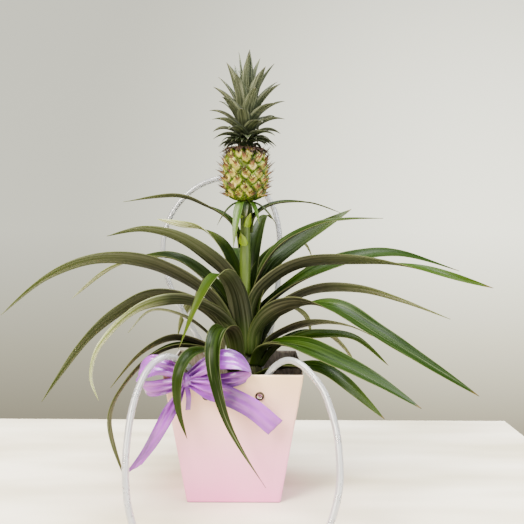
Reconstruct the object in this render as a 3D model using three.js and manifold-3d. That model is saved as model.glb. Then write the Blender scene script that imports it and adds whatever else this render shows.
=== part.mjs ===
// A potted pineapple plant: a fruiting plant in a nursery pot, set in a tapered gift bag
// with two clear tube handles and a satin bow. Millimetres, +Z up. The origin is the
// middle of the bag's underside, +X to the right and -Y to the front.
import * as THREE from "three";
import { mergeVertices } from "three/addons/utils/BufferGeometryUtils.js";
import Module from "manifold-3d";

const wasm = await Module();
wasm.setup();

// Driving dimensions

const GAP = 0.3; // between two pieces that touch

const BAG = { top: 170, bottom: 117, height: 166, wall: 1.2, cornerRadius: 3 };
const RIVET = {
  fromCentre: 32, belowRim: 26, shankRadius: 2.2, headRadius: 5.6, headEdge: 0.7, headHeight: 2.4,
  washerRadius: 4.4, washerHeight: 1, drill: 6,
};
const TUBE = { radius: 4, sides: 8, step: 22 };
const POT = { topRadius: 66, bottomRadius: 50, height: 122, wall: 2, rimRadius: 69, rimHeight: 14 };
const SOIL = { below: 9, edgeDrop: 2 }; // how far the soil lies under the pot's edge
const PLANT_X = 12; // the plant stands a little right of the bag's middle
const STEM = {
  rootRadius: 15, rootDepth: 26, neckRadius: 18, baseRadius: 25, baseZ: 148,
  middleRadius: 20.5, middleZ: 166, topRadius: 8, topZ: 188,
};
const STALK = { radius: 7, straightTo: 300, topRadius: 6.4, flareZ: 360, flareRadius: 8.4, topZ: 377.5 };
const FRUIT = {
  radius: 26.5, halfHeight: 34.7, endRadius: 11, eyesAround: 10, eyeRows: 7, eyeRise: 2.8,
  bractLength: 13, bractWidth: 6,
};
const CROWN = {
  coreRadius: 10, coreTop: 3, coreHeight: 44, height: 126, reach: 50, lean: 5,
  leaves: 40, leafWidth: 18, straightening: 0.6, // how much less the highest leaves curve out
  tipHook: 7, // how far the lowest leaves' tips turn down
};
const LEAF = {
  steps: 10, across: 2, rootThickness: 2.2, tipThickness: 1, leastWidth: 1.6,
  rootFold: 0.9, tipFold: 0.35, // radians that half the blade's section turns through
  taper: [2.4, 0.85], // the width falls as (1 - u ** first) ** second
};
const RIBBON = { width: 28, thickness: 0.9, strandWidth: 6 };

const bagFloor = BAG.wall;
const potZ = bagFloor + GAP;
const soilTop = potZ + POT.height - SOIL.below;
const fruitZ = STALK.topZ + GAP + FRUIT.halfHeight;
const crownZ = fruitZ + FRUIT.halfHeight + GAP;

// Each leaf rises from the short stem in a vertical plane at the compass angle `turn`
// (0 right, 90 back, 180 left, 270 front). `path` lists its middle line as reach from the
// stem's axis and height. `sweep` carries its tip sideways, and `roll` turns the blade
// anticlockwise, seen from its root, by these degrees at 0.2, 0.5 and all of its length.
const LEAVES = [
  // left, from the top down
  {
    turn: 150, width: 17, roll: [0, -25, -10],
    path: [[9, 316], [14, 338], [30, 356], [62, 371], [115, 386], [209, 380]],
  },
  {
    turn: 160, width: 34, roll: [25, 20, -70],
    path: [[9, 190], [10, 250], [26, 308], [58, 338], [98, 347], [130, 354]],
  },
  {
    turn: 192, width: 34, roll: [-15, -42, -25],
    path: [[12, 184], [13, 245], [28, 284], [80, 325], [130, 339], [177, 331]],
  },
  {
    turn: 172, width: 32, roll: [15, 20, -25],
    path: [[14, 180], [20, 232], [62, 283], [110, 304], [180, 288], [240, 245]],
  },
  {
    turn: 192, width: 36, roll: [-20, -40, -20],
    path: [[17, 174], [28, 222], [60, 260], [124, 294], [190, 300], [250, 278], [304, 234]],
  },
  {
    turn: 197, width: 34, roll: [-20, -42, -30],
    path: [[20, 168], [32, 210], [68, 242], [118, 254], [158, 238], [204, 200], [256, 130]],
  },
  {
    turn: 217, width: 28, sweep: -22, roll: [-15, -30, -10],
    path: [[18, 172], [22, 208], [52, 236], [98, 251], [152, 243], [195, 206], [206, 170], [196, 139]],
  },
  {
    turn: 186, width: 14, roll: [0, -20, 0],
    path: [[23, 161], [42, 196], [80, 226], [122, 234], [152, 206]],
  },
  {
    turn: 197, width: 28, roll: [-10, -25, -25],
    path: [[23.5, 160], [48, 184], [84, 198], [112, 195], [142, 177], [174, 142]],
  },
  {
    turn: 206, width: 30, roll: [0, -20, -35],
    path: [[24, 156], [50, 182], [100, 191], [148, 164], [178, 110], [160, 30]],
  },
  // front
  {
    turn: 255, width: 38, sweep: -48, roll: [0, -8, -20],
    path: [[14, 178], [16, 222], [28, 262], [58, 285], [88, 274], [108, 240], [114, 199]],
  },
  {
    turn: 245, width: 32, sweep: 68, roll: [0, 0, 0], taper: [1.6, 1.35],
    path: [[21, 167], [34, 200], [55, 216], [84, 217], [106, 198], [114, 162], [109, 110], [80, 35]],
  },
  {
    turn: 235, width: 19, roll: [0, 15, 20],
    path: [[24, 157], [46, 178], [80, 191], [112, 190], [131, 168], [130, 130], [115, 91]],
  },
  // right, from the top down
  {
    turn: 30, width: 15, roll: [0, -10, 0],
    path: [[9, 336], [13, 356], [32, 370], [60, 377], [104, 377], [153, 365]],
  },
  {
    turn: 72, width: 28, roll: [0, 0, 0],
    path: [[9, 191], [13, 262], [35, 315], [65, 350], [90, 361], [118, 356]],
  },
  {
    turn: 30, width: 40, roll: [-20, -38, -30],
    path: [[11, 187], [14, 250], [36, 293], [75, 320], [120, 344], [173, 370]],
  },
  {
    turn: 6, width: 28, roll: [0, -10, -10],
    path: [[10, 189], [14, 262], [42, 316], [93, 346], [135, 354], [185, 356]],
  },
  {
    turn: 348, width: 34, roll: [25, 40, -50],
    path: [[13.4, 182], [14.4, 240], [36, 272], [80, 295], [150, 299], [225, 292], [311, 270]],
  },
  {
    turn: 10, width: 34, roll: [0, -30, -25],
    path: [[15, 178], [17, 222], [41, 249], [90, 281], [150, 303], [215, 307], [301, 284]],
  },
  {
    turn: 357, width: 30, roll: [20, 35, 15],
    path: [[18, 172], [25, 212], [50, 240], [95, 260], [150, 261], [205, 247], [267, 225]],
  },
  {
    turn: 333, width: 38, roll: [35, -25, -30],
    path: [[16, 176], [20, 207], [44, 232], [85, 246], [130, 242], [176, 219], [235, 188], [299, 154]],
  },
  {
    turn: 352, width: 24, roll: [20, 30, 10],
    path: [[21, 166], [34, 193], [65, 211], [100, 219], [136, 216], [166, 204]],
  },
  {
    turn: 345, width: 24, roll: [0, -25, -25],
    path: [[23, 161], [38, 183], [62, 197], [100, 205], [145, 203], [187, 171]],
  },
  {
    turn: 317, width: 34, roll: [-10, -30, -25],
    path: [[22, 164], [32, 184], [56, 195], [98, 197], [150, 187], [205, 172], [262, 151]],
  },
  {
    turn: 330, width: 20, roll: [0, -20, -20],
    path: [[20, 168], [34, 190], [62, 198], [96, 198], [133, 194]],
  },
  {
    turn: 322, width: 28, roll: [0, -20, -30],
    path: [[24.5, 150], [44, 159], [72, 167], [112, 171.5], [150, 160], [206, 125]],
  },
  // back, hidden in the photograph's view but for two drooping tips
  {
    turn: 43, width: 24, roll: [0, 0, 0],
    path: [[20, 168], [40, 206], [80, 230], [116, 216], [128, 188]],
  },
  {
    turn: 50, width: 22, roll: [0, 0, 0],
    path: [[16, 176], [22, 236], [48, 290], [92, 322], [130, 320], [150, 300]],
  },
  {
    turn: 95, width: 34, roll: [0, 10, 0],
    path: [[12, 184], [20, 242], [55, 288], [112, 312], [180, 302], [240, 262]],
  },
  {
    turn: 112, width: 32, roll: [0, -10, 0],
    path: [[17, 174], [32, 222], [80, 258], [140, 264], [205, 236], [250, 190]],
  },
  {
    turn: 128, width: 28, roll: [0, -10, 0],
    path: [[19, 170], [34, 206], [75, 236], [118, 238], [152, 214], [172, 178]],
  },
  {
    turn: 80, width: 30, roll: [0, 0, 0],
    path: [[22, 163], [44, 196], [90, 216], [140, 204], [180, 160], [196, 112]],
  },
  {
    turn: 106, width: 30, roll: [0, 0, 0],
    path: [[24, 157], [52, 184], [100, 192], [145, 170], [176, 122], [186, 70]],
  },
  {
    turn: 20, width: 28, roll: [0, 10, 0],
    path: [[24, 158], [46, 182], [85, 200], [120, 195], [150, 170], [166, 142]],
  },
];

// Bracts of the fruit stalk: compass angle, height, rise for each step outward, length,
// width and how far the tip droops. The first ones clasp the stalk, the others arch out
// from under the fruit and hang.
const BRACTS = [
  [245, 314, 2.2, 24, 12, 0], [300, 338, 2.2, 26, 11, 0], [75, 322, 2, 20, 10, 0], [200, 350, 2, 20, 9, 0],
  [238, 373, -0.6, 24, 14, 48], [318, 373, -0.5, 20, 9, 22], [196, 372, -0.15, 31, 6, 26],
  [343, 372, -0.15, 36, 6, 25], [275, 372, -0.8, 12, 8, 14], [75, 372, -0.3, 30, 7, 24],
  [115, 372, -0.4, 28, 6, 22],
];

// The front handle has flopped over the rim onto the surface, the rear one stands and
// leans back. Each route starts and ends inside the wall, behind its rivet.
const HANDLES = {
  handle_front: [
    [32, -73.5, 133], [34, -73.8, 144], [38, -75, 156], [44, -77.5, 168], [54, -82, 179], [66, -90, 185],
    [80, -100, 182], [94, -111, 170], [105, -122, 156], [112, -136, 138], [117, -150, 118],
    [119, -164, 93], [118, -177, 68], [112, -188, 46], [102, -199, 25], [86, -211, 10], [64, -223, 4.4],
    [36, -232, 4.3], [4, -236, 4.3], [-28, -232, 4.3], [-58, -222, 4.4], [-82, -209, 11], [-98, -196, 28],
    [-108, -182, 52], [-113, -165, 86], [-113, -150, 115], [-111, -137, 138], [-106, -124, 159],
    [-99, -115, 175], [-90, -107, 186], [-80, -99, 190], [-69, -89, 187], [-59, -82, 179],
    [-48, -78, 168], [-39, -75, 156], [-34, -73.8, 144], [-32, -73.5, 133],
  ],
  handle_rear: [
    [32, 73.5, 133], [34, 74, 146], [39, 77, 164], [47, 84, 196], [54, 92, 232], [58, 99, 270],
    [60, 105, 308], [58, 111, 344], [49, 117, 376], [30, 121, 402], [2, 123, 415], [-28, 123, 416],
    [-58, 121, 406], [-84, 117, 385], [-103, 111, 355], [-111, 105, 320], [-108, 99, 286],
    [-98, 93, 256], [-84, 87, 228], [-68, 81, 202], [-54, 77.5, 180], [-43, 76, 160],
    [-35, 74.2, 145], [-32, 73.5, 133],
  ],
};

const COLOURS = {
  paper: { color: 0xe6cfc6, roughness: 0.75 },
  chrome: { color: 0xc9ccce, roughness: 0.2, metalness: 1 },
  clearTube: { color: 0xd8dcda, roughness: 0.15 },
  satin: { color: 0xb088c4, roughness: 0.4 },
  pottery: { color: 0x6b4a38, roughness: 0.6 },
  soil: { color: 0x3b2c20, roughness: 1 },
  stem: { color: 0x8c8a55, roughness: 0.8 },
  leaf: { color: 0x4f6427, roughness: 0.4 },
  stalk: { color: 0x7f8c3a, roughness: 0.6 },
  fruit: { color: 0xb5ac68, roughness: 0.6 },
  crown: { color: 0x6d6f4c, roughness: 0.6 },
};

// Solids

function geometryOf(positions, indices) {
  const geometry = new THREE.BufferGeometry();
  geometry.setAttribute("position", new THREE.BufferAttribute(new Float32Array(positions), 3));
  geometry.setIndex(indices);
  return geometry;
}

function solidOf(geometry) {
  const bare = geometry.clone();
  bare.deleteAttribute("normal");
  bare.deleteAttribute("uv");
  const merged = mergeVertices(bare, 1e-3);
  return new wasm.Manifold(
    new wasm.Mesh({
      numProp: 3,
      vertProperties: merged.attributes.position.array,
      triVerts: new Uint32Array(merged.index.array),
    }),
  );
}

function geometryFrom(solid) {
  const mesh = solid.getMesh();
  return geometryOf(mesh.vertProperties, Array.from(mesh.triVerts));
}

function join(solids) {
  return solids.reduce((sum, solid) => sum.add(solid));
}

// The biggest of the bodies that a cut leaves.
function largestBody(solid) {
  return solid.decompose().reduce((best, body) => (body.volume() > best.volume() ? body : best));
}

function lathe(profile, segments = 40) {
  const points = profile.map(([radius, z]) => new THREE.Vector2(radius, z));
  return new THREE.LatheGeometry(points, segments).rotateX(Math.PI / 2);
}

// A thin sheet: `middle(u, v)` is its middle face for u along and v across, 0 to 1, and
// `thickness(u)` is shared out to both sides of it. Both faces have the same triangles.
function sheet(middle, thickness, along, across) {
  const positions = [];
  const step = 1e-3;
  for (const side of [0.5, -0.5]) {
    for (let i = 0; i <= along; i++) {
      for (let j = 0; j <= across; j++) {
        const u = i / along;
        const v = j / across;
        const du = middle(Math.min(u + step, 1), v).sub(middle(Math.max(u - step, 0), v));
        const dv = middle(u, Math.min(v + step, 1)).sub(middle(u, Math.max(v - step, 0)));
        const normal = du.cross(dv).normalize();
        positions.push(...middle(u, v).addScaledVector(normal, side * thickness(u)).toArray());
      }
    }
  }
  const stride = across + 1;
  const back = (along + 1) * stride;
  const indices = [];
  const quad = (a, b, c, d) => indices.push(a, b, c, a, c, d);
  for (let i = 0; i < along; i++) {
    for (let j = 0; j < across; j++) {
      const a = i * stride + j;
      quad(a, a + stride, a + stride + 1, a + 1);
      indices.push(back + a, back + a + stride + 1, back + a + stride);
      indices.push(back + a, back + a + 1, back + a + stride + 1);
    }
    const near = i * stride;
    const far = near + across;
    quad(near, back + near, back + near + stride, near + stride);
    quad(far, far + stride, back + far + stride, back + far);
  }
  for (let j = 0; j < across; j++) {
    const end = along * stride + j;
    quad(j, j + 1, back + j + 1, back + j);
    quad(end, back + end, back + end + 1, end + 1);
  }
  return geometryOf(positions, indices);
}

// A pointed, keeled blade or spike with `sides` sides, `flat` times as thick as it is wide.
// It starts at `base`, `droop` moves its tip and `hook` turns the last of it, and each ring
// is a [share of the length, share of the width] between its root and its point.
function spike({
  base, direction, length, width, droop, hook = new THREE.Vector3(), sides = 3, flat = 0.45,
  rings = [[0, 1]],
}) {
  const forward = direction.clone().normalize();
  const side = new THREE.Vector3(0, 0, 1).cross(forward).normalize();
  const up = forward.clone().cross(side);
  const points = [];
  for (const [u, share] of rings) {
    const centre = base.clone().addScaledVector(forward, u * length).addScaledVector(droop, u * u);
    centre.addScaledVector(hook, u ** 4);
    const radius = 0.5 * share * width;
    for (let k = 0; k < sides; k++) {
      const angle = (2 * Math.PI * k) / sides;
      const rim = centre.clone().addScaledVector(side, radius * Math.cos(angle));
      points.push(rim.addScaledVector(up, flat * radius * Math.sin(angle)));
    }
  }
  points.push(base.clone().addScaledVector(forward, length).add(droop).add(hook));
  const last = points.length - 1;
  const indices = [];
  for (let k = 0; k < sides; k++) {
    const next = (k + 1) % sides;
    for (let a = 0; a < last - sides; a += sides) {
      indices.push(a + k, a + next, a + sides + next, a + k, a + sides + next, a + sides + k);
    }
    indices.push(last - sides + k, last - sides + next, last);
  }
  for (let k = 1; k < sides - 1; k++) {
    indices.push(0, k + 1, k);
  }
  return geometryOf(points.flatMap((point) => point.toArray()), indices);
}

const parts = new THREE.Group();

function part(name, geometry, colour, group = parts) {
  const mesh = new THREE.Mesh(geometry, new THREE.MeshStandardMaterial(COLOURS[colour]));
  mesh.name = name;
  group.add(mesh);
  return mesh;
}

// Bag

// A square with round corners, as a ring of points at one height.
function squareRing(halfWidth, radius, z, perCorner = 3) {
  const points = [];
  for (let corner = 0; corner < 4; corner++) {
    for (let k = 0; k <= perCorner; k++) {
      const angle = (Math.PI / 2) * (corner + k / perCorner);
      const turn = (Math.PI / 2) * corner + Math.PI / 4;
      const inset = (halfWidth - radius) * Math.SQRT2;
      const x = inset * Math.cos(turn) + radius * Math.cos(angle);
      const y = inset * Math.sin(turn) + radius * Math.sin(angle);
      points.push([x, y, z]);
    }
  }
  return points;
}

// A solid through rings of equal length, its ends closed by fans.
function loft(rings) {
  const count = rings[0].length;
  const indices = [];
  for (let r = 0; r < rings.length - 1; r++) {
    for (let k = 0; k < count; k++) {
      const next = (k + 1) % count;
      const a = r * count;
      indices.push(a + k, a + next, a + count + next, a + k, a + count + next, a + count + k);
    }
  }
  const top = (rings.length - 1) * count;
  for (let k = 1; k < count - 1; k++) {
    indices.push(0, k + 1, k);
    indices.push(top, top + k, top + k + 1);
  }
  return geometryOf(rings.flat(2), indices);
}

function bagHalfWidth(z) {
  return THREE.MathUtils.lerp(BAG.bottom, BAG.top, z / BAG.height) / 2;
}

const rivetZ = BAG.height - RIVET.belowRim;
const wallSlope = Math.atan2((BAG.top - BAG.bottom) / 2, BAG.height);

// A body of revolution whose axis runs out of the wall, square to it, at a rivet.
function atRivet(profile, side, front, segments) {
  const outward = lathe(profile, segments).rotateX(Math.PI / 2 + wallSlope);
  const placed = outward.translate(side * RIVET.fromCentre, -bagHalfWidth(rivetZ), rivetZ);
  return front ? placed : placed.rotateZ(Math.PI);
}

function bag() {
  const bottomWidth = bagHalfWidth(0);
  const outer = loft([
    squareRing(bottomWidth, BAG.cornerRadius, 0),
    squareRing(BAG.top / 2, BAG.cornerRadius, BAG.height),
  ]);
  const innerRadius = BAG.cornerRadius - BAG.wall;
  const inner = loft([
    squareRing(bagHalfWidth(bagFloor) - BAG.wall, innerRadius, bagFloor),
    squareRing(bagHalfWidth(BAG.height + 10) - BAG.wall, innerRadius, BAG.height + 10),
  ]);
  const holeRadius = RIVET.shankRadius + GAP;
  const hole = [[0, -RIVET.drill], [holeRadius, -RIVET.drill], [holeRadius, RIVET.drill], [0, RIVET.drill]];
  let shell = solidOf(outer).subtract(solidOf(inner));
  for (const front of [true, false]) {
    for (const side of [1, -1]) {
      shell = shell.subtract(solidOf(atRivet(hole, side, front, 12)));
    }
  }
  return geometryFrom(shell);
}

part("gift_bag", bag(), "paper");

// Rivets: a domed head outside, a shank through the wall and a flat washer inside

function rivet(side, front) {
  const inside = BAG.wall + GAP;
  const profile = [
    [0, -inside - RIVET.washerHeight], [RIVET.washerRadius, -inside - RIVET.washerHeight],
    [RIVET.washerRadius, -inside],
    [RIVET.shankRadius, -inside], [RIVET.shankRadius, GAP],
    [RIVET.headRadius, GAP], [RIVET.headRadius, GAP + RIVET.headEdge],
    [0.72 * RIVET.headRadius, GAP + 0.85 * RIVET.headHeight], [0, GAP + RIVET.headHeight],
  ];
  return atRivet(profile, side, front, 12);
}

part("rivet_front_right", rivet(1, true), "chrome");
part("rivet_front_left", rivet(-1, true), "chrome");
part("rivet_rear_left", rivet(1, false), "chrome");
part("rivet_rear_right", rivet(-1, false), "chrome");

// Handles: clear tubes swept along their routes

function tube(route) {
  const curve = new THREE.CatmullRomCurve3(route.map((p) => new THREE.Vector3(...p)));
  const section = new THREE.Shape(
    Array.from({ length: TUBE.sides }, (_, k) => {
      const angle = (2 * Math.PI * k) / TUBE.sides;
      return new THREE.Vector2(TUBE.radius * Math.cos(angle), TUBE.radius * Math.sin(angle));
    }),
  );
  const steps = Math.round(curve.getLength() / TUBE.step);
  return new THREE.ExtrudeGeometry(section, { steps, bevelEnabled: false, extrudePath: curve });
}

for (const [name, route] of Object.entries(HANDLES)) {
  part(name, tube(route), "clearTube");
}

// Nursery pot and soil

function potRadius(z) {
  return THREE.MathUtils.lerp(POT.bottomRadius, POT.topRadius, z / POT.height);
}

const rimFoot = POT.height - POT.rimHeight;
const pot = part(
  "nursery_pot",
  lathe([
    [0, 0], [POT.bottomRadius, 0], [potRadius(rimFoot), rimFoot], [POT.rimRadius, rimFoot + 1],
    [POT.rimRadius, POT.height], [POT.topRadius - POT.wall, POT.height],
    [POT.bottomRadius - POT.wall, POT.wall], [0, POT.wall],
  ], 28),
  "pottery",
);
pot.position.z = potZ;

const plant = new THREE.Group();
plant.position.x = PLANT_X;
parts.add(plant);

// The stem's profile, as radius at a height: a root end in the soil, then a club that
// narrows up to the stalk.
const stemProfile = [
  [STEM.rootRadius, soilTop - STEM.rootDepth], [STEM.neckRadius, soilTop],
  [STEM.baseRadius, STEM.baseZ], [STEM.middleRadius, STEM.middleZ], [STEM.topRadius, STEM.topZ],
];

function soil() {
  const inside = (z) => potRadius(z) - POT.wall - 2 * GAP;
  const floor = POT.wall + GAP;
  const top = POT.height - SOIL.below;
  const body = lathe([
    [0, floor], [inside(floor), floor], [inside(top), top - SOIL.edgeDrop],
    [0.6 * POT.topRadius, top], [0, top],
  ], 28).translate(0, 0, potZ);
  const holeFloor = soilTop - STEM.rootDepth - GAP;
  const hole = lathe([
    [0, holeFloor], [STEM.rootRadius + GAP, holeFloor], [STEM.neckRadius + GAP, soilTop],
    [STEM.neckRadius + 5, soilTop + 8], [0, soilTop + 8],
  ], 24).translate(PLANT_X, 0, 0);
  return geometryFrom(solidOf(body).subtract(solidOf(hole)));
}

part("soil", soil(), "soil");

const stemBody = lathe([[0, stemProfile[0][1]], ...stemProfile, [0, STEM.topZ]], 14);
part("short_stem", stemBody, "stem", plant);

// Fruit stalk, with its small bracts and the longer ones that hang under the fruit

function stalk() {
  const core = lathe([
    [0, STEM.topZ + GAP], [STALK.radius, STEM.topZ + GAP], [STALK.radius, STALK.straightTo],
    [STALK.topRadius, STALK.flareZ], [STALK.flareRadius, STALK.topZ], [0, STALK.topZ],
  ], 14);
  const solids = [solidOf(core)];
  for (const [turn, height, rise, length, width, fall] of BRACTS) {
    const angle = THREE.MathUtils.degToRad(turn);
    const outward = new THREE.Vector3(Math.cos(angle), Math.sin(angle), 0);
    const base = outward.clone().multiplyScalar(4).setZ(height);
    const droop = new THREE.Vector3(0, 0, -fall);
    const direction = outward.clone().setZ(rise);
    const rings = [[0, 0.8], [0.35, 1], [0.7, 0.6]];
    solids.push(solidOf(spike({ base, direction, length, width, droop, rings })));
  }
  return geometryFrom(join(solids));
}

part("fruit_stalk", stalk(), "stalk", plant);

// Fruit: a barrel whose eyes are raised diamonds in crossing spirals, each with a bract

const eyePitch = (2 * FRUIT.halfHeight) / (FRUIT.eyeRows + 1);

function fruitRadius(z) {
  const height = THREE.MathUtils.clamp(z / FRUIT.halfHeight, -1, 1);
  const barrel = Math.pow(Math.max(0, 1 - Math.pow(Math.abs(height), 2.6)), 0.5);
  return FRUIT.endRadius + (FRUIT.radius - FRUIT.endRadius) * barrel;
}

// The middle of an eye lies on every other point of a row and moves over by one point from
// row to row. The other points lie on the seams, and each square is split along its seam.
function isEye(row, k) {
  return row > 0 && row <= FRUIT.eyeRows && (row + k) % 2 === 1;
}

function fruitBody() {
  const around = 2 * FRUIT.eyesAround;
  const rows = FRUIT.eyeRows + 1;
  const positions = [];
  const indices = [];
  for (let row = 0; row <= rows; row++) {
    const z = -FRUIT.halfHeight + row * eyePitch;
    for (let k = 0; k < around; k++) {
      const radius = fruitRadius(z) + (isEye(row, k) ? FRUIT.eyeRise : 0);
      const angle = (2 * Math.PI * k) / around;
      positions.push(radius * Math.cos(angle), radius * Math.sin(angle), z);
      if (row === rows) {
        continue;
      }
      const a = row * around + k;
      const b = row * around + ((k + 1) % around);
      if ((row + k) % 2 === 1) {
        indices.push(a, b, a + around, b, b + around, a + around);
      } else {
        indices.push(a, b, b + around, a, b + around, a + around);
      }
    }
  }
  const top = rows * around;
  for (let k = 1; k < around - 1; k++) {
    indices.push(0, k + 1, k, top, top + k, top + k + 1);
  }
  return solidOf(geometryOf(positions, indices));
}

function fruit() {
  const solids = [fruitBody()];
  for (let row = 1; row <= FRUIT.eyeRows; row++) {
    const z = -FRUIT.halfHeight + row * eyePitch;
    for (let k = 0; k < FRUIT.eyesAround; k++) {
      const angle = (Math.PI * (2 * k + 1 - (row % 2))) / FRUIT.eyesAround;
      const outward = new THREE.Vector3(Math.cos(angle), Math.sin(angle), 0);
      const base = outward.clone().multiplyScalar(fruitRadius(z) - 2).setZ(z - 2);
      const direction = outward.clone().setZ(0.25 + (0.5 * z) / FRUIT.halfHeight);
      const droop = new THREE.Vector3(0, 0, 2.5);
      const { bractLength, bractWidth } = FRUIT;
      solids.push(solidOf(spike({ base, direction, length: bractLength, width: bractWidth, droop })));
    }
  }
  return join(solids);
}

part("fruit", geometryFrom(fruit()), "fruit", plant).position.z = fruitZ;

// Crown: a tuft of small leaves that clasp a short core and curve out. From the lowest to
// the highest their tips climb to the crown's height and draw in to its axis.

function crown() {
  const { coreRadius, coreTop, coreHeight, height, reach, leaves, lean, leafWidth: width } = CROWN;
  const core = lathe([[0, 0], [coreRadius, 0], [coreRadius, 20], [coreTop, coreHeight], [0, coreHeight]], 12);
  const solids = [solidOf(core)];
  const goldenAngle = Math.PI * (3 - Math.sqrt(5));
  for (let i = 0; i < leaves; i++) {
    const rank = i / (leaves - 1);
    const outward = new THREE.Vector3(Math.cos(i * goldenAngle), Math.sin(i * goldenAngle), 0);
    const base = outward.clone().multiplyScalar(2).setZ(1.3 + rank * (coreHeight - 10));
    const spread = 0.8 + 0.2 * THREE.MathUtils.smoothstep(rank, 0, 0.3);
    const tip = outward.clone().multiplyScalar(reach * spread * Math.pow(1 - Math.pow(rank, 5), 0.6));
    tip.setZ(THREE.MathUtils.lerp(1, height, Math.pow(rank, 1.2)));
    tip.x += lean * rank;
    const chord = tip.clone().sub(base).length();
    const bend = chord * (1 - CROWN.straightening * rank);
    const droop = outward.clone().multiplyScalar(0.3 * bend).setZ(-0.35 * bend);
    const hook = new THREE.Vector3(0, 0, -CROWN.tipHook * (1 - rank));
    const direction = tip.clone().sub(droop).sub(hook).sub(base);
    const length = direction.length();
    const rings = [[0, 0.75], [0.35, 1], [0.75, 0.65]];
    const blade = spike({ base, direction, length, width, droop, hook, sides: 4, flat: 0.18, rings });
    solids.push(solidOf(blade));
  }
  return geometryFrom(join(solids));
}

part("crown", crown(), "crown", plant).position.z = crownZ;

// Leaves

const UP = new THREE.Vector3(0, 0, 1);

// The blade is narrowed to the stem's round at its root, widest at a third and drawn out
// to a point; its section is a channel, an arc of `half` radians to each side.
function leafWidth(leaf, u) {
  const [full, drawn] = leaf.taper ?? LEAF.taper;
  const taper = Math.pow(Math.max(0, 1 - Math.pow(u, full)), drawn);
  const root = THREE.MathUtils.lerp(0.7, 1, THREE.MathUtils.smoothstep(u, 0, 0.25));
  return Math.max(leaf.width * root * taper, LEAF.leastWidth);
}

// The blade's roll in radians, eased from one of its three values to the next.
function leafRoll(leaf, u) {
  const ease = THREE.MathUtils.smoothstep;
  const [early, middle, tip] = leaf.roll;
  const second = (middle - early) * ease(u, 0.2, 0.5);
  const third = (tip - middle) * ease(u, 0.5, 1);
  return THREE.MathUtils.degToRad(early * ease(u, 0, 0.2) + second + third);
}

function leafMiddle(leaf, margin) {
  const turn = THREE.MathUtils.degToRad(leaf.turn);
  const outward = new THREE.Vector3(Math.cos(turn), Math.sin(turn), 0);
  const lateral = new THREE.Vector3(-Math.sin(turn), Math.cos(turn), 0);
  const curve = new THREE.SplineCurve(leaf.path.map((point) => new THREE.Vector2(...point)));
  const spine = (u) => {
    const point = curve.getPointAt(u);
    return outward
      .clone()
      .multiplyScalar(point.x)
      .addScaledVector(UP, point.y)
      .addScaledVector(lateral, (leaf.sweep ?? 0) * u * u);
  };
  return (u, v) => {
    const along = spine(Math.min(u + 0.01, 1)).sub(spine(Math.max(u - 0.01, 0))).normalize();
    const across = lateral.clone().addScaledVector(along, -lateral.dot(along)).normalize();
    across.applyAxisAngle(along, -leafRoll(leaf, u));
    const inward = along.clone().cross(across);
    const width = leafWidth(leaf, u) + 2 * margin;
    const half = THREE.MathUtils.lerp(LEAF.rootFold, LEAF.tipFold, u);
    const angle = (2 * v - 1) * half;
    return spine(u)
      .addScaledVector(across, ((width / 2) * Math.sin(angle)) / half)
      .addScaledVector(inward, ((width / 2) * (1 - Math.cos(angle))) / half);
  };
}

function leafSolid(leaf, margin = 0) {
  const thickness = (u) => THREE.MathUtils.lerp(LEAF.rootThickness, LEAF.tipThickness, u) + 2 * margin;
  return solidOf(sheet(leafMiddle(leaf, margin), thickness, LEAF.steps, LEAF.across));
}

// The leaves' roots stand on the stem and beside the stalk, clear of both by the gap.
const stemGuard = solidOf(lathe([
  [0, STEM.baseZ - 20], [STEM.baseRadius + GAP, STEM.baseZ],
  [STEM.middleRadius + GAP, STEM.middleZ], [STEM.topRadius + GAP, STEM.topZ + GAP],
  [STALK.radius + GAP, STEM.topZ + GAP],
  [STALK.radius + GAP, STALK.straightTo], [STALK.topRadius + GAP, STALK.flareZ], [0, STALK.flareZ],
], 14));

const leafSolids = LEAVES.map((leaf) => leafSolid(leaf).subtract(stemGuard));
// A leaf's guard is the leaf made thicker all round, and longer at its root.
const leafGuards = LEAVES.map((leaf) => {
  const guard = leafSolid(leaf, GAP + 0.1);
  return guard.add(guard.translate([0, 0, -GAP]));
});
LEAVES.forEach((leaf, index) => {
  const others = leafGuards.slice(0, index);
  const clear = others.reduce((blade, other) => blade.subtract(other), leafSolids[index]);
  const name = "leaf_" + String(index + 1).padStart(2, "0");
  part(name, geometryFrom(largestBody(clear)), "leaf", plant);
});

// Bow: one satin ribbon tied round the front handle's left end, its two loops, two tails
// and the short strand all held by the knot

// The ribbon lies against the bag, so it keeps clear of this slightly larger body.
const bagGuard = solidOf(loft([
  squareRing(bagHalfWidth(0) + GAP, BAG.cornerRadius, 0),
  squareRing(BAG.top / 2 + GAP, BAG.cornerRadius, BAG.height + GAP),
]));

// A ribbon along a route of [x, y, z] points; `face` gives the way its width runs there.
function ribbonStrip(route, faces, width, steps) {
  const curve = new THREE.CatmullRomCurve3(route.map((p) => new THREE.Vector3(...p)));
  const across = new THREE.CatmullRomCurve3(faces.map((p) => new THREE.Vector3(...p).normalize()));
  const middle = (u, v) =>
    curve.getPoint(u).addScaledVector(across.getPoint(u).normalize(), width(u) * (v - 0.5));
  return solidOf(sheet(middle, () => RIBBON.thickness, steps, 2));
}

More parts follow.
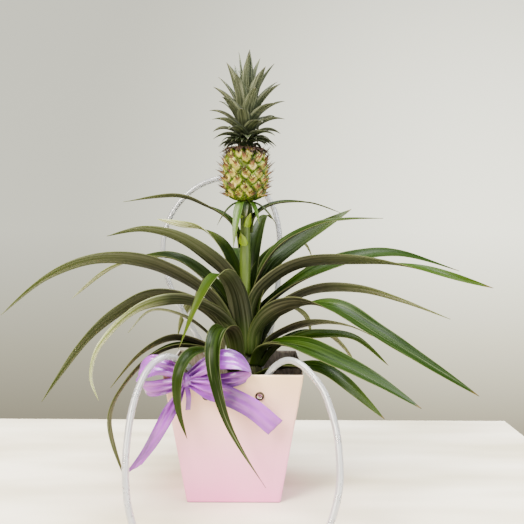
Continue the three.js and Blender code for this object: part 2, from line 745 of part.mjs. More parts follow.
function bow() {
  const gathered = (u) => RIBBON.width * (0.35 + 0.65 * Math.sin(Math.PI * u));
  const opening = (u) => THREE.MathUtils.smoothstep(u, 0, 0.35);
  const spread = (u) => RIBBON.width * THREE.MathUtils.lerp(0.3, 0.78, opening(u));
  const knot = new THREE.SphereGeometry(1, 10, 7).scale(7.5, 5.5, 9).translate(-56, -92, 161);
  const strips = [
    // left loop, right loop
    ribbonStrip(
      [
        [-57, -91, 163], [-74, -92, 175], [-94, -93, 179], [-112, -92, 167],
        [-104, -90, 151], [-80, -90.5, 153], [-57, -91.5, 160],
      ],
      [
        [0.1, 0.5, 1], [0.1, 0.35, 1], [-0.2, 0.5, 1], [0, 1, 0.4],
        [0.1, 0.6, -0.8], [0.1, 0.4, -1], [0.1, 0.5, -1],
      ],
      gathered, 10,
    ),
    ribbonStrip(
      [
        [-55, -91, 163], [-36, -93, 177], [-12, -95, 187], [8, -95, 183],
        [21, -93, 169], [-5, -91.5, 161], [-55, -91.5, 161],
      ],
      [
        [-0.1, 0.5, 1], [-0.1, 0.5, 1], [0.2, 0.6, 1], [0.3, 1, 0.4],
        [0, 1, -0.4], [-0.1, 0.4, -1], [-0.1, 0.5, -1],
      ],
      gathered, 10,
    ),
    // right tail, left tail, short strand
    ribbonStrip(
      [[-56, -93, 160], [-32, -95, 152], [-6, -95, 143], [22, -93, 128.5], [51, -90, 104]],
      [[0.3, 0, 1], [0.3, 0, 1], [0.3, 0, 1], [0.5, 0, 1], [0.7, 0, 0.7]],
      spread, 6,
    ),
    ribbonStrip(
      [[-57, -93, 158], [-69, -97, 136], [-82, -99, 110], [-99, -97, 80], [-118, -94, 54]],
      [[1, 0, 0.4], [1, 0.1, 0.4], [1, 0, 0.4], [1, -0.1, 0.5], [1, 0, 0.6]],
      spread, 6,
    ),
    ribbonStrip(
      [[-55, -94, 158], [-52, -96, 142], [-53, -94, 126]],
      [[1, 0, 0.1], [1, 0.3, 0], [1, 0, 0.1]],
      () => RIBBON.strandWidth, 3,
    ),
  ];
  return geometryFrom(largestBody(join([solidOf(knot), ...strips]).subtract(bagGuard)));
}

part("ribbon_bow", bow(), "satin");

export default parts;
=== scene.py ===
# Potted pineapple plant in a gift bag with tube handles and a satin bow
import math
from functools import partial
import bpy
import numpy as np
from mathutils import Matrix, Vector


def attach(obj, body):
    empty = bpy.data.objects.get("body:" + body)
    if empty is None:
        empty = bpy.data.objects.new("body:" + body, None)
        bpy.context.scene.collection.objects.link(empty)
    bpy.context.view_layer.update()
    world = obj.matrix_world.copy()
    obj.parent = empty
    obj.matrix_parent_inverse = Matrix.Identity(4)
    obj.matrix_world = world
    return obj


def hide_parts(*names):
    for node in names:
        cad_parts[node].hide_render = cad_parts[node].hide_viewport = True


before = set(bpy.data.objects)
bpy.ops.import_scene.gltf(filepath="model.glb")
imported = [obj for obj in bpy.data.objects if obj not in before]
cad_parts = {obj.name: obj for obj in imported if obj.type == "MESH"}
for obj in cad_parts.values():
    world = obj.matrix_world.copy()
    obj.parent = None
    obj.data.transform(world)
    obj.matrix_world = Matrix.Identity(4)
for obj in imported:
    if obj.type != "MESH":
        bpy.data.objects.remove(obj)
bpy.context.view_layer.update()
mm = 0.001


# Number and curve helpers

def lerp(a, b, t):
    return a + (b - a) * t


def ease(t, low, high):  # 0 below low, 1 above high, smooth between
    s = np.clip((t - low) / (high - low), 0, 1)
    return s * s * (3 - 2 * s)


def unit(v):
    return v / np.maximum(np.linalg.norm(v, axis=-1, keepdims=True), 1e-12)


def compass(degrees):  # level unit vector, 0 to the right and 90 to the back
    a = math.radians(degrees)
    return np.array([math.cos(a), math.sin(a), 0.0])


def roundTurn(sides):  # the angles of a full turn in equal steps
    return np.linspace(0, 2 * np.pi, sides, endpoint=False)


def splineAt(points, t, centripetal=True):
    # Catmull-Rom: between two points a cubic whose end slopes follow the points on both sides,
    # weighed by the square roots of their distances when centripetal, and alike when not
    p = np.asarray(points, float)
    first = 2 * p[0] - p[1] if centripetal else p[0]
    last = 2 * p[-1] - p[-2] if centripetal else p[-1]
    p = np.vstack([first, p, last])
    i = np.clip(np.floor(t).astype(int), 0, len(p) - 4)
    w = (t - i)[:, None]
    p0, p1, p2, p3 = p[i], p[i + 1], p[i + 2], p[i + 3]
    if centripetal:
        pairs = ((p0, p1), (p1, p2), (p2, p3))
        d0, d1, d2 = (np.sqrt(np.linalg.norm(b - a, axis=1))[:, None] for a, b in pairs)
        d1 = np.where(d1 < 1e-4, 1.0, d1)
        d0 = np.where(d0 < 1e-4, d1, d0)
        d2 = np.where(d2 < 1e-4, d1, d2)
        s1 = d1 * ((p1 - p0) / d0 - (p2 - p0) / (d0 + d1) + (p2 - p1) / d1)
        s2 = d1 * ((p2 - p1) / d1 - (p3 - p1) / (d1 + d2) + (p3 - p2) / d2)
    else:
        s1, s2 = (p2 - p0) / 2, (p3 - p1) / 2
    return p1 + s1 * w + (3 * (p2 - p1) - 2 * s1 - s2) * w**2 + (2 * (p1 - p2) + s1 + s2) * w**3


def evenly(points, count):  # the same line again in equal steps of length
    steps = np.r_[0, np.cumsum(np.linalg.norm(np.diff(points, axis=0), axis=1))]
    at = np.linspace(0, steps[-1], count)
    return np.stack([np.interp(at, steps, points[:, k]) for k in range(points.shape[1])], axis=1)


def routeThrough(points, count, centripetal=True):
    t = np.linspace(0, len(points) - 1, 40 * len(points))
    return evenly(splineAt(points, t, centripetal), count)


def lengthOf(line):  # the sum of its steps
    return np.linalg.norm(np.diff(line, axis=0), axis=1).sum()


# Mesh helpers

def gridFaces(rows, cols, wrap=False):
    # quads between neighbouring rows of points; with wrap the last column meets the first
    i, j = np.meshgrid(np.arange(rows - 1), np.arange(cols if wrap else cols - 1), indexing="ij")
    right = (j + 1) % cols
    corners = [i * cols + j, (i + 1) * cols + j, (i + 1) * cols + right, i * cols + right]
    return np.stack(corners, axis=-1).reshape(-1, 4)


def ringPoints(radius, z, a):  # a ring at each height z; its radius may change with the angle a
    flat = radius * np.cos(a), radius * np.sin(a)
    return np.stack([*flat, np.broadcast_to(z[:, None], radius.shape)], axis=-1).reshape(-1, 3)


def cappedRings(points, sides, middles):
    # rings of points, one above the other, closed by a fan round a middle point at either end
    n, last = len(points), len(points) - sides
    k = np.arange(sides)
    after = (k + 1) % sides
    low, high = np.full(sides, n), np.full(sides, n + 1)
    under = np.stack([k, after, low, low], axis=-1)
    over = np.stack([last + after, last + k, high, high], axis=-1)
    faces = np.concatenate([gridFaces(n // sides, sides, wrap=True), under, over])
    return np.vstack([points, middles]), faces


def slabFaces(rows, cols):
    # the two faces of a thin slab and the four strips round its edge
    n = rows * cols
    top = gridFaces(rows, cols)
    under = top[:, ::-1] + n
    ring = np.r_[
        np.arange(cols - 1),
        np.arange(cols - 1, n - 1, cols),
        np.arange(n - 1, n - cols, -1),
        np.arange(n - cols, 0, -cols),
    ]
    nextOne = np.roll(ring, -1)
    edge = np.stack([ring, nextOne, nextOne + n, ring + n], axis=-1)
    return top, under, edge[:, ::-1]


def merged(shapes):
    # joins (points, faces, faceMaterial, marks) groups into one of each
    starts = np.cumsum([0] + [len(s[0]) for s in shapes[:-1]])
    points = np.concatenate([s[0] for s in shapes])
    faces = np.concatenate([s[1] + k for s, k in zip(shapes, starts)])
    return points, faces, np.concatenate([s[2] for s in shapes]), np.concatenate([s[3] for s in shapes])


def addPiece(name, node, shape, materials, marks=(), fixNormals=False):
    # shape is points in mm, quads (a triangle repeats a corner), material numbers and a table
    # of numbers kept on the points, three to each attribute named in marks
    points, faces, faceMaterial, table = shape
    mesh = bpy.data.meshes.new(name)
    quads = [list(dict.fromkeys(f)) for f in faces.tolist()]
    mesh.from_pydata((points * mm).tolist(), [], quads)
    mesh.polygons.foreach_set("material_index", np.asarray(faceMaterial, np.int32))
    mesh.polygons.foreach_set("use_smooth", np.full(len(faces), True))
    for k, mark in enumerate(marks):
        layer = mesh.attributes.new(mark, "FLOAT_VECTOR", "POINT")
        layer.data.foreach_set("vector", np.ascontiguousarray(table[:, 3 * k:3 * k + 3]).ravel())
    for material in materials:
        mesh.materials.append(material)
    piece = bpy.data.objects.new(name, mesh)
    bpy.context.collection.objects.link(piece)
    if fixNormals:
        bpy.context.view_layer.objects.active = piece
        piece.select_set(True)
        bpy.ops.object.mode_set(mode="EDIT")
        bpy.ops.mesh.select_all(action="SELECT")
        bpy.ops.mesh.normals_make_consistent(inside=False)
        bpy.ops.object.mode_set(mode="OBJECT")
        piece.select_set(False)
    mesh.update()
    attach(piece, "root")
    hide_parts(node)
    return piece


def turned(profile, sides, centre=(0, 0, 0)):
    # a profile of [radius, height] turned round the upright line through centre
    p = np.asarray(profile, float)
    a = roundTurn(sides)
    ring = np.stack([np.cos(a), np.sin(a), np.zeros(sides)], axis=-1)
    points = (p[:, None, :1] * ring + np.array([0, 0, 1.0]) * p[:, None, 1:]).reshape(-1, 3)
    points, faces = cappedRings(points, sides, [[0, 0, p[0, 1]], [0, 0, p[-1, 1]]])
    return points + np.asarray(centre), faces[:, ::-1]


def plain(points, faces, material=0):  # a shape with no marks
    return points, faces, np.full(len(faces), material), np.zeros((len(points), 3))


# Material helpers. Patterns lie in metres, so a noise scale of 900 draws marks about 1 mm wide.

def linear(hexColour):  # sRGB hex to the linear values that sockets take
    c = np.array([int(hexColour[k:k + 2], 16) for k in (1, 3, 5)]) / 255
    c = np.where(c <= 0.04045, c / 12.92, ((c + 0.055) / 1.055) ** 2.4)
    return (*c.tolist(), 1.0)


def connect(node, inputs):
    # each socket, by name or number, takes a value, an sRGB hex or another node's output
    for socket, value in inputs.items():
        if isinstance(value, bpy.types.NodeSocket):
            node.id_data.links.new(value, node.inputs[socket])
        else:
            node.inputs[socket].default_value = linear(value) if isinstance(value, str) else value


def addNode(tree, kind, inputs=None, out=0, stops=(), **settings):
    # a node with its settings, a ramp's colour stops and its links; gives back the output
    # that out names, or all of them where out is None
    node = tree.nodes.new("ShaderNode" + kind)
    for name, value in settings.items():
        setattr(node, name, value)
    while stops and len(node.color_ramp.elements) < len(stops):
        node.color_ramp.elements.new(0.5)
    for element, (position, colour) in zip(node.color_ramp.elements if stops else (), stops):
        element.position = position
        element.color = linear(colour)
    connect(node, inputs or {})
    return node.outputs if out is None else node.outputs[out]


# settings that recur: a Mix that blends colours, by sockets 0, 6 and 7, and a Math that multiplies
colours = {"out": 2, "data_type": "RGBA"}
times = {"operation": "MULTIPLY"}


def newMaterial(name):
    material = bpy.data.materials.new(name)
    material.use_nodes = True
    tree = material.node_tree
    return material, partial(addNode, tree), tree.nodes["Principled BSDF"]


markNames = ("spot", "part", "look")


def bladeMarks(add):
    # what a blade keeps on its points. spot: metres along, metres across, a number of its own;
    # part: share of its length, distance from its middle; look: three shares, see each blade.
    # A scale of 260 across spot, its second number, draws lines about 4 mm apart
    marks = [add("Attribute", out="Vector", attribute_name=name) for name in markNames]
    return marks[0], *(add("SeparateXYZ", {0: mark}, out=None) for mark in marks[1:])


# Camera: it looks along +Y, a little down, from the photograph's standpoint

view = {
    "place": (0.034, -0.889, 0.338), "pitchDown": 2.6, "roll": 0.25,
    "focalPixels": 678, "imagePixels": 524, "sensor": 36.0,
}


def makeCamera():
    data = bpy.data.cameras.new("photoCamera")
    data.sensor_width = view["sensor"]
    data.lens = view["sensor"] * view["focalPixels"] / view["imagePixels"]
    data.clip_start = 0.01
    camera = bpy.data.objects.new("photoCamera", data)
    bpy.context.collection.objects.link(camera)
    pitch = Matrix.Rotation(math.radians(90 - view["pitchDown"]), 4, "X")
    roll = Matrix.Rotation(math.radians(view["roll"]), 4, "Z")
    camera.matrix_world = Matrix.Translation(view["place"]) @ pitch @ roll
    bpy.context.scene.camera = camera


makeCamera()
print("camera set")


# Handles: two lengths of clear soft tube, each held by a rivet at both ends. The front one
# has flopped over the rim onto the table, the rear one stands and leans back.

handles = {
    "outside": 8.0, "bore": 5.0, "sides": 24, "steps": 260,
    "front": [
        [32, -73.5, 133], [34, -73.8, 144], [38, -75, 156], [44, -77.5, 168], [54, -82, 179], [66, -90, 185],
        [80, -100, 182], [94, -111, 170], [105, -122, 156], [112, -136, 138], [117, -150, 118],
        [119, -164, 93], [118, -177, 68], [112, -188, 46], [102, -199, 25], [86, -211, 10], [64, -223, 4.4],
        [36, -232, 4.3], [4, -236, 4.3], [-28, -232, 4.3], [-58, -222, 4.4], [-82, -209, 11], [-98, -196, 28],
        [-108, -182, 52], [-113, -165, 86], [-113, -150, 115], [-111, -137, 138], [-106, -124, 159],
        [-99, -115, 175], [-90, -107, 186], [-80, -99, 190], [-69, -89, 187], [-59, -82, 179],
        [-48, -78, 168], [-39, -75, 156], [-34, -73.8, 144], [-32, -73.5, 133],
    ],
    "rear": [
        [32, 73.5, 133], [34, 74, 146], [39, 77, 164], [47, 84, 196], [54, 92, 232], [58, 99, 270],
        [60, 105, 308], [58, 111, 344], [49, 117, 376], [30, 121, 402], [2, 123, 415], [-28, 123, 416],
        [-58, 121, 406], [-84, 117, 385], [-103, 111, 355], [-111, 105, 320], [-108, 99, 286],
        [-98, 93, 256], [-84, 87, 228], [-68, 81, 202], [-54, 77.5, 180], [-43, 76, 160],
        [-35, 74.2, 145], [-32, 73.5, 133],
    ],
}


def tubeAlong(centre, radius, sides):
    # a ring of points round each point of the centreline, turned as little as it can be from
    # one to the next, so that the wall doesn't twist
    along = unit(np.gradient(centre, axis=0))
    side = np.zeros_like(centre)
    side[0] = unit(np.cross(along[0], [0.3, 1.0, 0.2]))
    for k in range(1, len(centre)):  # one step a ring, not a vertex
        side[k] = unit(side[k - 1] - along[k] * np.dot(side[k - 1], along[k]))
    over = np.cross(along, side)
    a = roundTurn(sides)
    ring = np.cos(a)[None, :, None] * side[:, None] + np.sin(a)[None, :, None] * over[:, None]
    return centre[:, None] + radius * ring


def clearVinyl():
    # Soft PVC tube, extruded: clear with a milky cast, wet-looking gloss and faint haze
    material, add, shader = newMaterial("clearSoftVinyl")
    haze = add("TexNoise", {"Vector": add("TexCoord", out="Object"), "Scale": 60, "Detail": 3.0})
    connect(shader, {
        "Base Color": add("Mix", {0: haze, 6: "#d2d4d8", 7: "#eceef0"}, **colours),
        "Roughness": add("MapRange", {0: haze, 3: 0.24, 4: 0.32}),
        "Transmission Weight": 0.78, "Coat Weight": 0.8, "Coat Roughness": 0.05, "IOR": 1.45,
    })
    return material


def makeHandle(name, node, material):
    # two walls along one centreline, joined by a flat ring at either end
    centre = routeThrough(handles[name], handles["steps"])
    sides, rows = handles["sides"], len(centre)
    walls = [tubeAlong(centre, handles[size] / 2, sides).reshape(-1, 3) for size in ("outside", "bore")]
    outer = gridFaces(rows, sides, wrap=True)
    inner = outer[:, ::-1] + rows * sides
    k = np.arange(sides)
    ends = []
    for start, flip in ((0, 1), ((rows - 1) * sides, -1)):
        a, b = start + k, start + (k + 1) % sides
        ends.append(np.stack([a, b, b + rows * sides, a + rows * sides], axis=-1)[:, ::flip])
    shape = plain(np.concatenate(walls), np.concatenate([outer, inner, *ends]))
    title = "handleTube" + name.capitalize()
    piece = addPiece(title, node, shape, [material], fixNormals=True)


tubeMaterial = clearVinyl()
makeHandle("front", "handle_front", tubeMaterial)
makeHandle("rear", "handle_rear", tubeMaterial)


# Bag: a tapered square box of laminated card, open at the top

bag = {
    "top": 170.0, "bottom": 117.0, "height": 166.0, "wall": 1.2, "corner": 3.0, "edge": 0.3,
    "perSide": 36, "perCorner": 5, "rows": 60,
    # the sides bulge by this much, and creases run down them at this share of the half width
    "bulge": 1.1, "bulgePower": 0.7, "crease": 0.7, "creaseAt": 0.8, "creaseWide": 0.06,
}


def bagHalf(z):
    return lerp(bag["bottom"], bag["top"], z / bag["height"]) / 2


def bagRing(half, radius, z, proud):
    # the round of a square with round corners; proud pushes each side out by a wave that is
    # zero at the corners, and a soft crease runs down each side a little in from both edges
    points = []
    t = np.linspace(-1, 1, bag["perSide"], endpoint=False)
    crease = bag["crease"] * proud * np.exp(-(((np.abs(t) - bag["creaseAt"]) / bag["creaseWide"]) ** 2))
    x, y = half + proud * np.cos(t * np.pi / 2) - crease, t * (half - radius)
    inset = (half - radius) * math.sqrt(2)
    for quarter in range(4):
        a = math.pi / 2 * quarter
        c, s = math.cos(a), math.sin(a)
        points.append(np.stack([x * c - y * s, x * s + y * c], axis=-1))
        b = a + np.linspace(0, math.pi / 2, bag["perCorner"], endpoint=False)
        m = a + math.pi / 4
        middle = inset * np.array([math.cos(m), math.sin(m)])
        points.append(middle + radius * np.stack([np.cos(b), np.sin(b)], axis=-1))
    flat = np.concatenate(points)
    return np.column_stack([flat, np.full(len(flat), z)])


def printedCard():
    # Solid bleached board with a matt laminate: cream at the rim fading to pink at the foot, where
    # the lowest 2 mm darken as a painted contact shadow; faint cloudiness and a soft fibre tooth under the
    # film
    material, add, shader = newMaterial("printedLaminatedCard")
    spot = add("TexCoord", out="Object")
    height = add("SeparateXYZ", {0: spot}, out=None)[2]
    fade = add("ValToRGB", {0: add("MapRange", {0: height, 1: 0.0, 2: bag["height"] * mm})}, stops=[
        # the first two stops paint a contact shadow along the bag's foot
        (0.0, "#8d4a78"), (0.012, "#f086c8"), (0.35, "#f19cc6"), (0.7, "#f1bfb4"), (1.0, "#efcb9c"),
    ])
    cloud = add("TexNoise", {"Vector": spot, "Scale": 22, "Detail": 3.0})
    stretched = add("Mapping", {"Vector": spot, "Scale": (1, 1, 0.4)})
    fibre = add("TexNoise", {"Vector": stretched, "Scale": 900})
    pale = add("Math", {0: cloud, 1: 0.2}, **times)
    connect(shader, {
        "Base Color": add("Mix", {0: pale, 6: fade, 7: "#f6ddd0"}, **colours),
        "Roughness": 0.5, "Specular IOR Level": 0.35,
        "Normal": add("Bump", {"Height": fibre, "Distance": 0.00004, "Strength": 0.5}),
    })
    return material


def bareCard(name, dark, light):
    # Uncoated board: the white cut edge and the grey-brown inside, with a visible fibre
    material, add, shader = newMaterial(name)
    stretched = add("Mapping", {"Vector": add("TexCoord", out="Object"), "Scale": (1, 1, 0.25)})
    fibre = add("TexNoise", {"Vector": stretched, "Scale": 500, "Detail": 4.0})
    connect(shader, {
        "Base Color": add("ValToRGB", {0: fibre}, stops=[(0.3, dark), (0.7, light)]),
        "Roughness": 0.85,
        "Normal": add("Bump", {"Height": fibre, "Distance": 0.00008, "Strength": 0.6}),
    })
    return material


def makeBag():
    # rings from the foot up the outside, over the cut rim and down the inside to the floor
    wall, edge, corner = bag["wall"], bag["edge"], bag["corner"]
    heights = np.linspace(0, bag["height"], bag["rows"])
    belly = lambda z: bag["bulge"] * max(0.0, math.sin(math.pi * z / bag["height"])) ** bag["bulgePower"]
    outside = [bagRing(bagHalf(0) - edge, corner, 0, 0), bagRing(bagHalf(0), corner, edge, 0)]
    outside += [bagRing(bagHalf(z), corner, z, belly(z)) for z in heights[1:]]
    inside = [bagRing(bagHalf(z) - wall, corner - wall, z, belly(z)) for z in heights[:0:-1]]
    inside.append(bagRing(bagHalf(0) - wall, corner - wall, wall, 0))
    sides = len(inside[0])
    points, faces = cappedRings(np.concatenate(outside + inside), sides, [[0, 0, 0], [0, 0, wall]])
    # printed outside and under the foot, cut rim, bare inside and floor
    bands = np.r_[np.zeros(len(outside) - 1), 1, np.full(len(inside) - 1, 2), 0, 2]
    cards = [
        printedCard(), bareCard("whiteCutCard", "#d9d0c6", "#f2ece4"),
        bareCard("greyInsideCard", "#564b40", "#857a6c"),
    ]
    shape = plain(points, faces, np.repeat(bands, sides))
    addPiece("giftBag", "gift_bag", shape, cards, fixNormals=True)


makeBag()
print("bag made")


# Rivets: domed heads outside, a shank through the card and a washer inside

rivets = {
    "fromCentre": 32.0, "belowRim": 26.0, "gap": 0.3, "sides": 40, "shank": 2.2,
    "head": 5.6, "headHeight": 2.4, "rim": 1.3, "rimSteps": 12, "dish": 0.5, "headEdge": 0.25,
    # the profile's strips from 7 to 16, the round rim, take the near-black copy: painted shade and dark
    # reflection
    "washer": 4.4, "washerThick": 1.0, "washerEdge": 0.2, "paintedDarkRim": (7, 16),
}


def polishedNickel(name, dark, light):
    # Nickel-plated brass snap: mirror smooth with a few soft rubs; made a second time in near black
    # for the round rim, as painted shade and dark reflection
    material, add, shader = newMaterial(name)
    rub = add("TexNoise", {"Vector": add("TexCoord", out="Object"), "Scale": 700, "Detail": 3.0})
    connect(shader, {
        "Base Color": add("Mix", {0: rub, 6: dark, 7: light}, **colours),
        "Roughness": add("MapRange", {0: rub, 3: 0.16, 4: 0.34}), "Metallic": 1.0,
    })
    return material


def makeRivet(name, node, side, front, plates):
    # a profile turned round its own axis: washer, shank, then a head whose round rim falls
    # into a shallow dish; it is then leant to stand square on the bag's sloping side
    inside = bag["wall"] + rivets["gap"]
    head, tall, gap, rim = rivets["head"], rivets["headHeight"], rivets["gap"], rivets["rim"]
    washer, shank, sides = rivets["washer"], rivets["shank"], rivets["sides"]
    low, bevel = -inside - rivets["washerThick"], rivets["washerEdge"]
    a = np.linspace(0, np.pi, rivets["rimSteps"])
    ring = [[head - rim + rim * math.cos(t), gap + tall - rim + rim * math.sin(t)] for t in a]
    dish = [
        [(head - 2 * rim) * math.cos(t), gap + tall - rim - rivets["dish"] * math.sin(t)] for t in a[1:6]
    ]
    profile = [
        [washer - bevel, low], [washer, low + bevel], [washer, -inside], [shank, -inside],
        [shank, gap], [head - bevel, gap], [head, gap + rivets["headEdge"]], *ring, *dish,
    ]
    points, faces = turned(profile, sides)
    plate = np.zeros(len(profile) + 1)  # the strips of the profile, then the two end fans
    # the round rim's strips take the near-black nickel: painted shade and dark reflection
    plate[slice(*rivets["paintedDarkRim"])] = 1
    slope = math.atan2((bag["top"] - bag["bottom"]) / 2, bag["height"])
    z = bag["height"] - rivets["belowRim"]
    lean = np.array(Matrix.Rotation(math.pi / 2 + slope, 3, "X"))
    points = points @ lean.T + [side * rivets["fromCentre"], -bagHalf(z), z]
    if not front:
        points = points * [-1, -1, 1]
    shape = plain(points, faces, np.repeat(plate, sides))
    addPiece(name, node, shape, plates, fixNormals=True)


nickel = [
    polishedNickel("polishedNickelPlate", "#c9c0b4", "#e6ded2"),
    # near-black nickel for the round rim: painted shade and dark reflection
    polishedNickel("paintedDarkNickelRim", "#332c26", "#5c5248"),
]
makeRivet("rivetFrontRight", "rivet_front_right", 1, True, nickel)
makeRivet("rivetFrontLeft", "rivet_front_left", -1, True, nickel)
makeRivet("rivetRearLeft", "rivet_rear_left", 1, False, nickel)
makeRivet("rivetRearRight", "rivet_rear_right", -1, False, nickel)
print("rivets made")


# Nursery pot and the peat in it

pot = {
    "topRadius": 66.0, "bottomRadius": 50.0, "height": 122.0, "wall": 2.0, "rimRadius": 69.0,
    "rimHeight": 14.0, "foot": 1.5, "rows": 24, "sides": 96, "hoops": 4, "hoopDepth": 0.5,
}
peat = {
    "below": 9.0, "gap": 0.6, "rows": 40, "sides": 120, "hole": 18.4, "wellRadius": 15.3,
    "wellDepth": 26.4, "underside": 2.4, "rimSag": 2, "waves": 14, "waveTurns": 0.16,
    "lift": 0.35, "finer": 4, "fineLift": 0.12, "seed": 5,
}
plantX = 12.0


def mouldedPolypropylene():
    # Blown polypropylene nursery pot: brown black, matt, with flow mottling
    material, add, shader = newMaterial("mouldedPolypropylene")
    stretched = add("Mapping", {"Vector": add("TexCoord", out="Object"), "Scale": (1, 1, 0.3)})
    flow = add("TexNoise", {"Vector": stretched, "Scale": 80, "Detail": 4.0})
    connect(shader, {
        "Base Color": add("ValToRGB", {0: flow}, stops=[(0.3, "#1b1512"), (0.7, "#2c221c")]),
        "Roughness": 0.55,
        "Normal": add("Bump", {"Height": flow, "Distance": 0.0001, "Strength": 0.4}),
    })
    return material


def makePot():
    # a tapered wall with faint hoops (a cosine of height), a rolled lip, and the plain inside
    h, wall, rim, top = pot["height"], pot["wall"], pot["rimRadius"], pot["topRadius"]
    depth = pot["hoopDepth"]
    radius = lambda z: lerp(pot["bottomRadius"], top, z / h)
    hoop = lambda z: depth * math.cos(2 * math.pi * pot["hoops"] * z / h) - depth
    under = h - pot["rimHeight"]
    outside = [[radius(z) + hoop(z), z] for z in np.linspace(0, under, pot["rows"])]
    lip = [
        [rim - 0.5, under + 0.4], [rim, under + 1.2], [rim, h - 1.2], [rim - 0.5, h - 0.3],
        [rim - 1.2, h], [top - wall + 0.8, h], [top - wall, h - 0.8],
    ]
    profile = [*outside, *lip, [pot["bottomRadius"] - wall, wall]]
    points, faces = turned(profile, pot["sides"], (0, 0, pot["foot"]))
    shape = plain(points, faces)
    addPiece("nurseryPot", "nursery_pot", shape, [mouldedPolypropylene()], fixNormals=True)


def dampPeat():
    # Sphagnum peat: crumbs a few millimetres across, near black in the hollows, with straw bits
    material, add, shader = newMaterial("dampPeat")
    spot = add("TexCoord", out="Object")
    crumb = add("TexNoise", {"Vector": spot, "Scale": 260, "Detail": 6.0, "Roughness": 0.65})
    stretched = add("Mapping", {"Vector": spot, "Scale": (1, 0.25, 1)})
    straw = add("TexNoise", {"Vector": stretched, "Scale": 330})
    body = add("ValToRGB", {0: crumb}, stops=[(0.32, "#1d130c"), (0.55, "#3a281b"), (0.72, "#5a422d")])
    flecks = add("MapRange", {0: straw, 1: 0.66, 2: 0.72})
    connect(shader, {
        "Base Color": add("Mix", {0: flecks, 6: body, 7: "#8a6c46"}, **colours), "Roughness": 0.95,
        "Normal": add("Bump", {"Height": crumb, "Distance": 0.0012, "Strength": 0.9}),
    })
    return material


def makePeat():
    # rings from the rim of the peat to the stem, a little lower at the rim, and lifted by a few
    # waves of random direction and the same waves again, finer and lower
    rng = np.random.default_rng(peat["seed"])
    top, sides = pot["foot"] + pot["height"] - peat["below"], peat["sides"]
    bottom = pot["foot"] + peat["underside"]
    inset = pot["wall"] + peat["gap"]
    edge = lerp(pot["bottomRadius"], pot["topRadius"], 1 - peat["below"] / pot["height"]) - inset
    a = roundTurn(sides)
    around = np.stack([np.cos(a), np.sin(a)], axis=-1)
    t = np.linspace(0, 1, peat["rows"])[:, None, None]
    flat = around * edge * (1 - t) + (around * peat["hole"] + [plantX, 0]) * t
    waves = rng.normal(0, peat["waveTurns"], (peat["waves"], 2))
    phase = rng.uniform(0, 6.3, peat["waves"])
    lift = np.cos(flat @ waves.T + phase).sum(-1) * peat["lift"]
    fine = np.cos(flat @ (peat["finer"] * waves.T) + 2 * phase).sum(-1) * peat["fineLift"]
    fade = np.sin(np.pi * np.clip(t[..., 0], 0, 1)) ** 0.4
    z = top - peat["rimSag"] * (1 - t[..., 0]) ** 3 + (lift + fine) * fade
    surface = np.concatenate([flat, z[..., None]], axis=-1)
    foot = np.column_stack([around * (pot["bottomRadius"] - inset), np.full(sides, bottom)])
    deep = top - peat["wellDepth"]
    well = np.column_stack([around * peat["wellRadius"] + [plantX, 0], np.full(sides, deep)])
    rings = np.concatenate([foot, surface.reshape(-1, 3), well])
    middles = [[0, 0, bottom], [plantX, 0, deep]]
    shape = plain(*cappedRings(rings, sides, middles))
    addPiece("peat", "soil", shape, [dampPeat()], fixNormals=True)


makePot()
makePeat()
print("pot and peat made")


# Leaves. Each stands in an upright plane at the angle turn; path is its middle line as reach
# from the stem and height, sweep carries the tip sideways and roll turns the blade, in degrees
# at 0.2, 0.5 and all of its length. look is how pale, how bright and how brown it is.

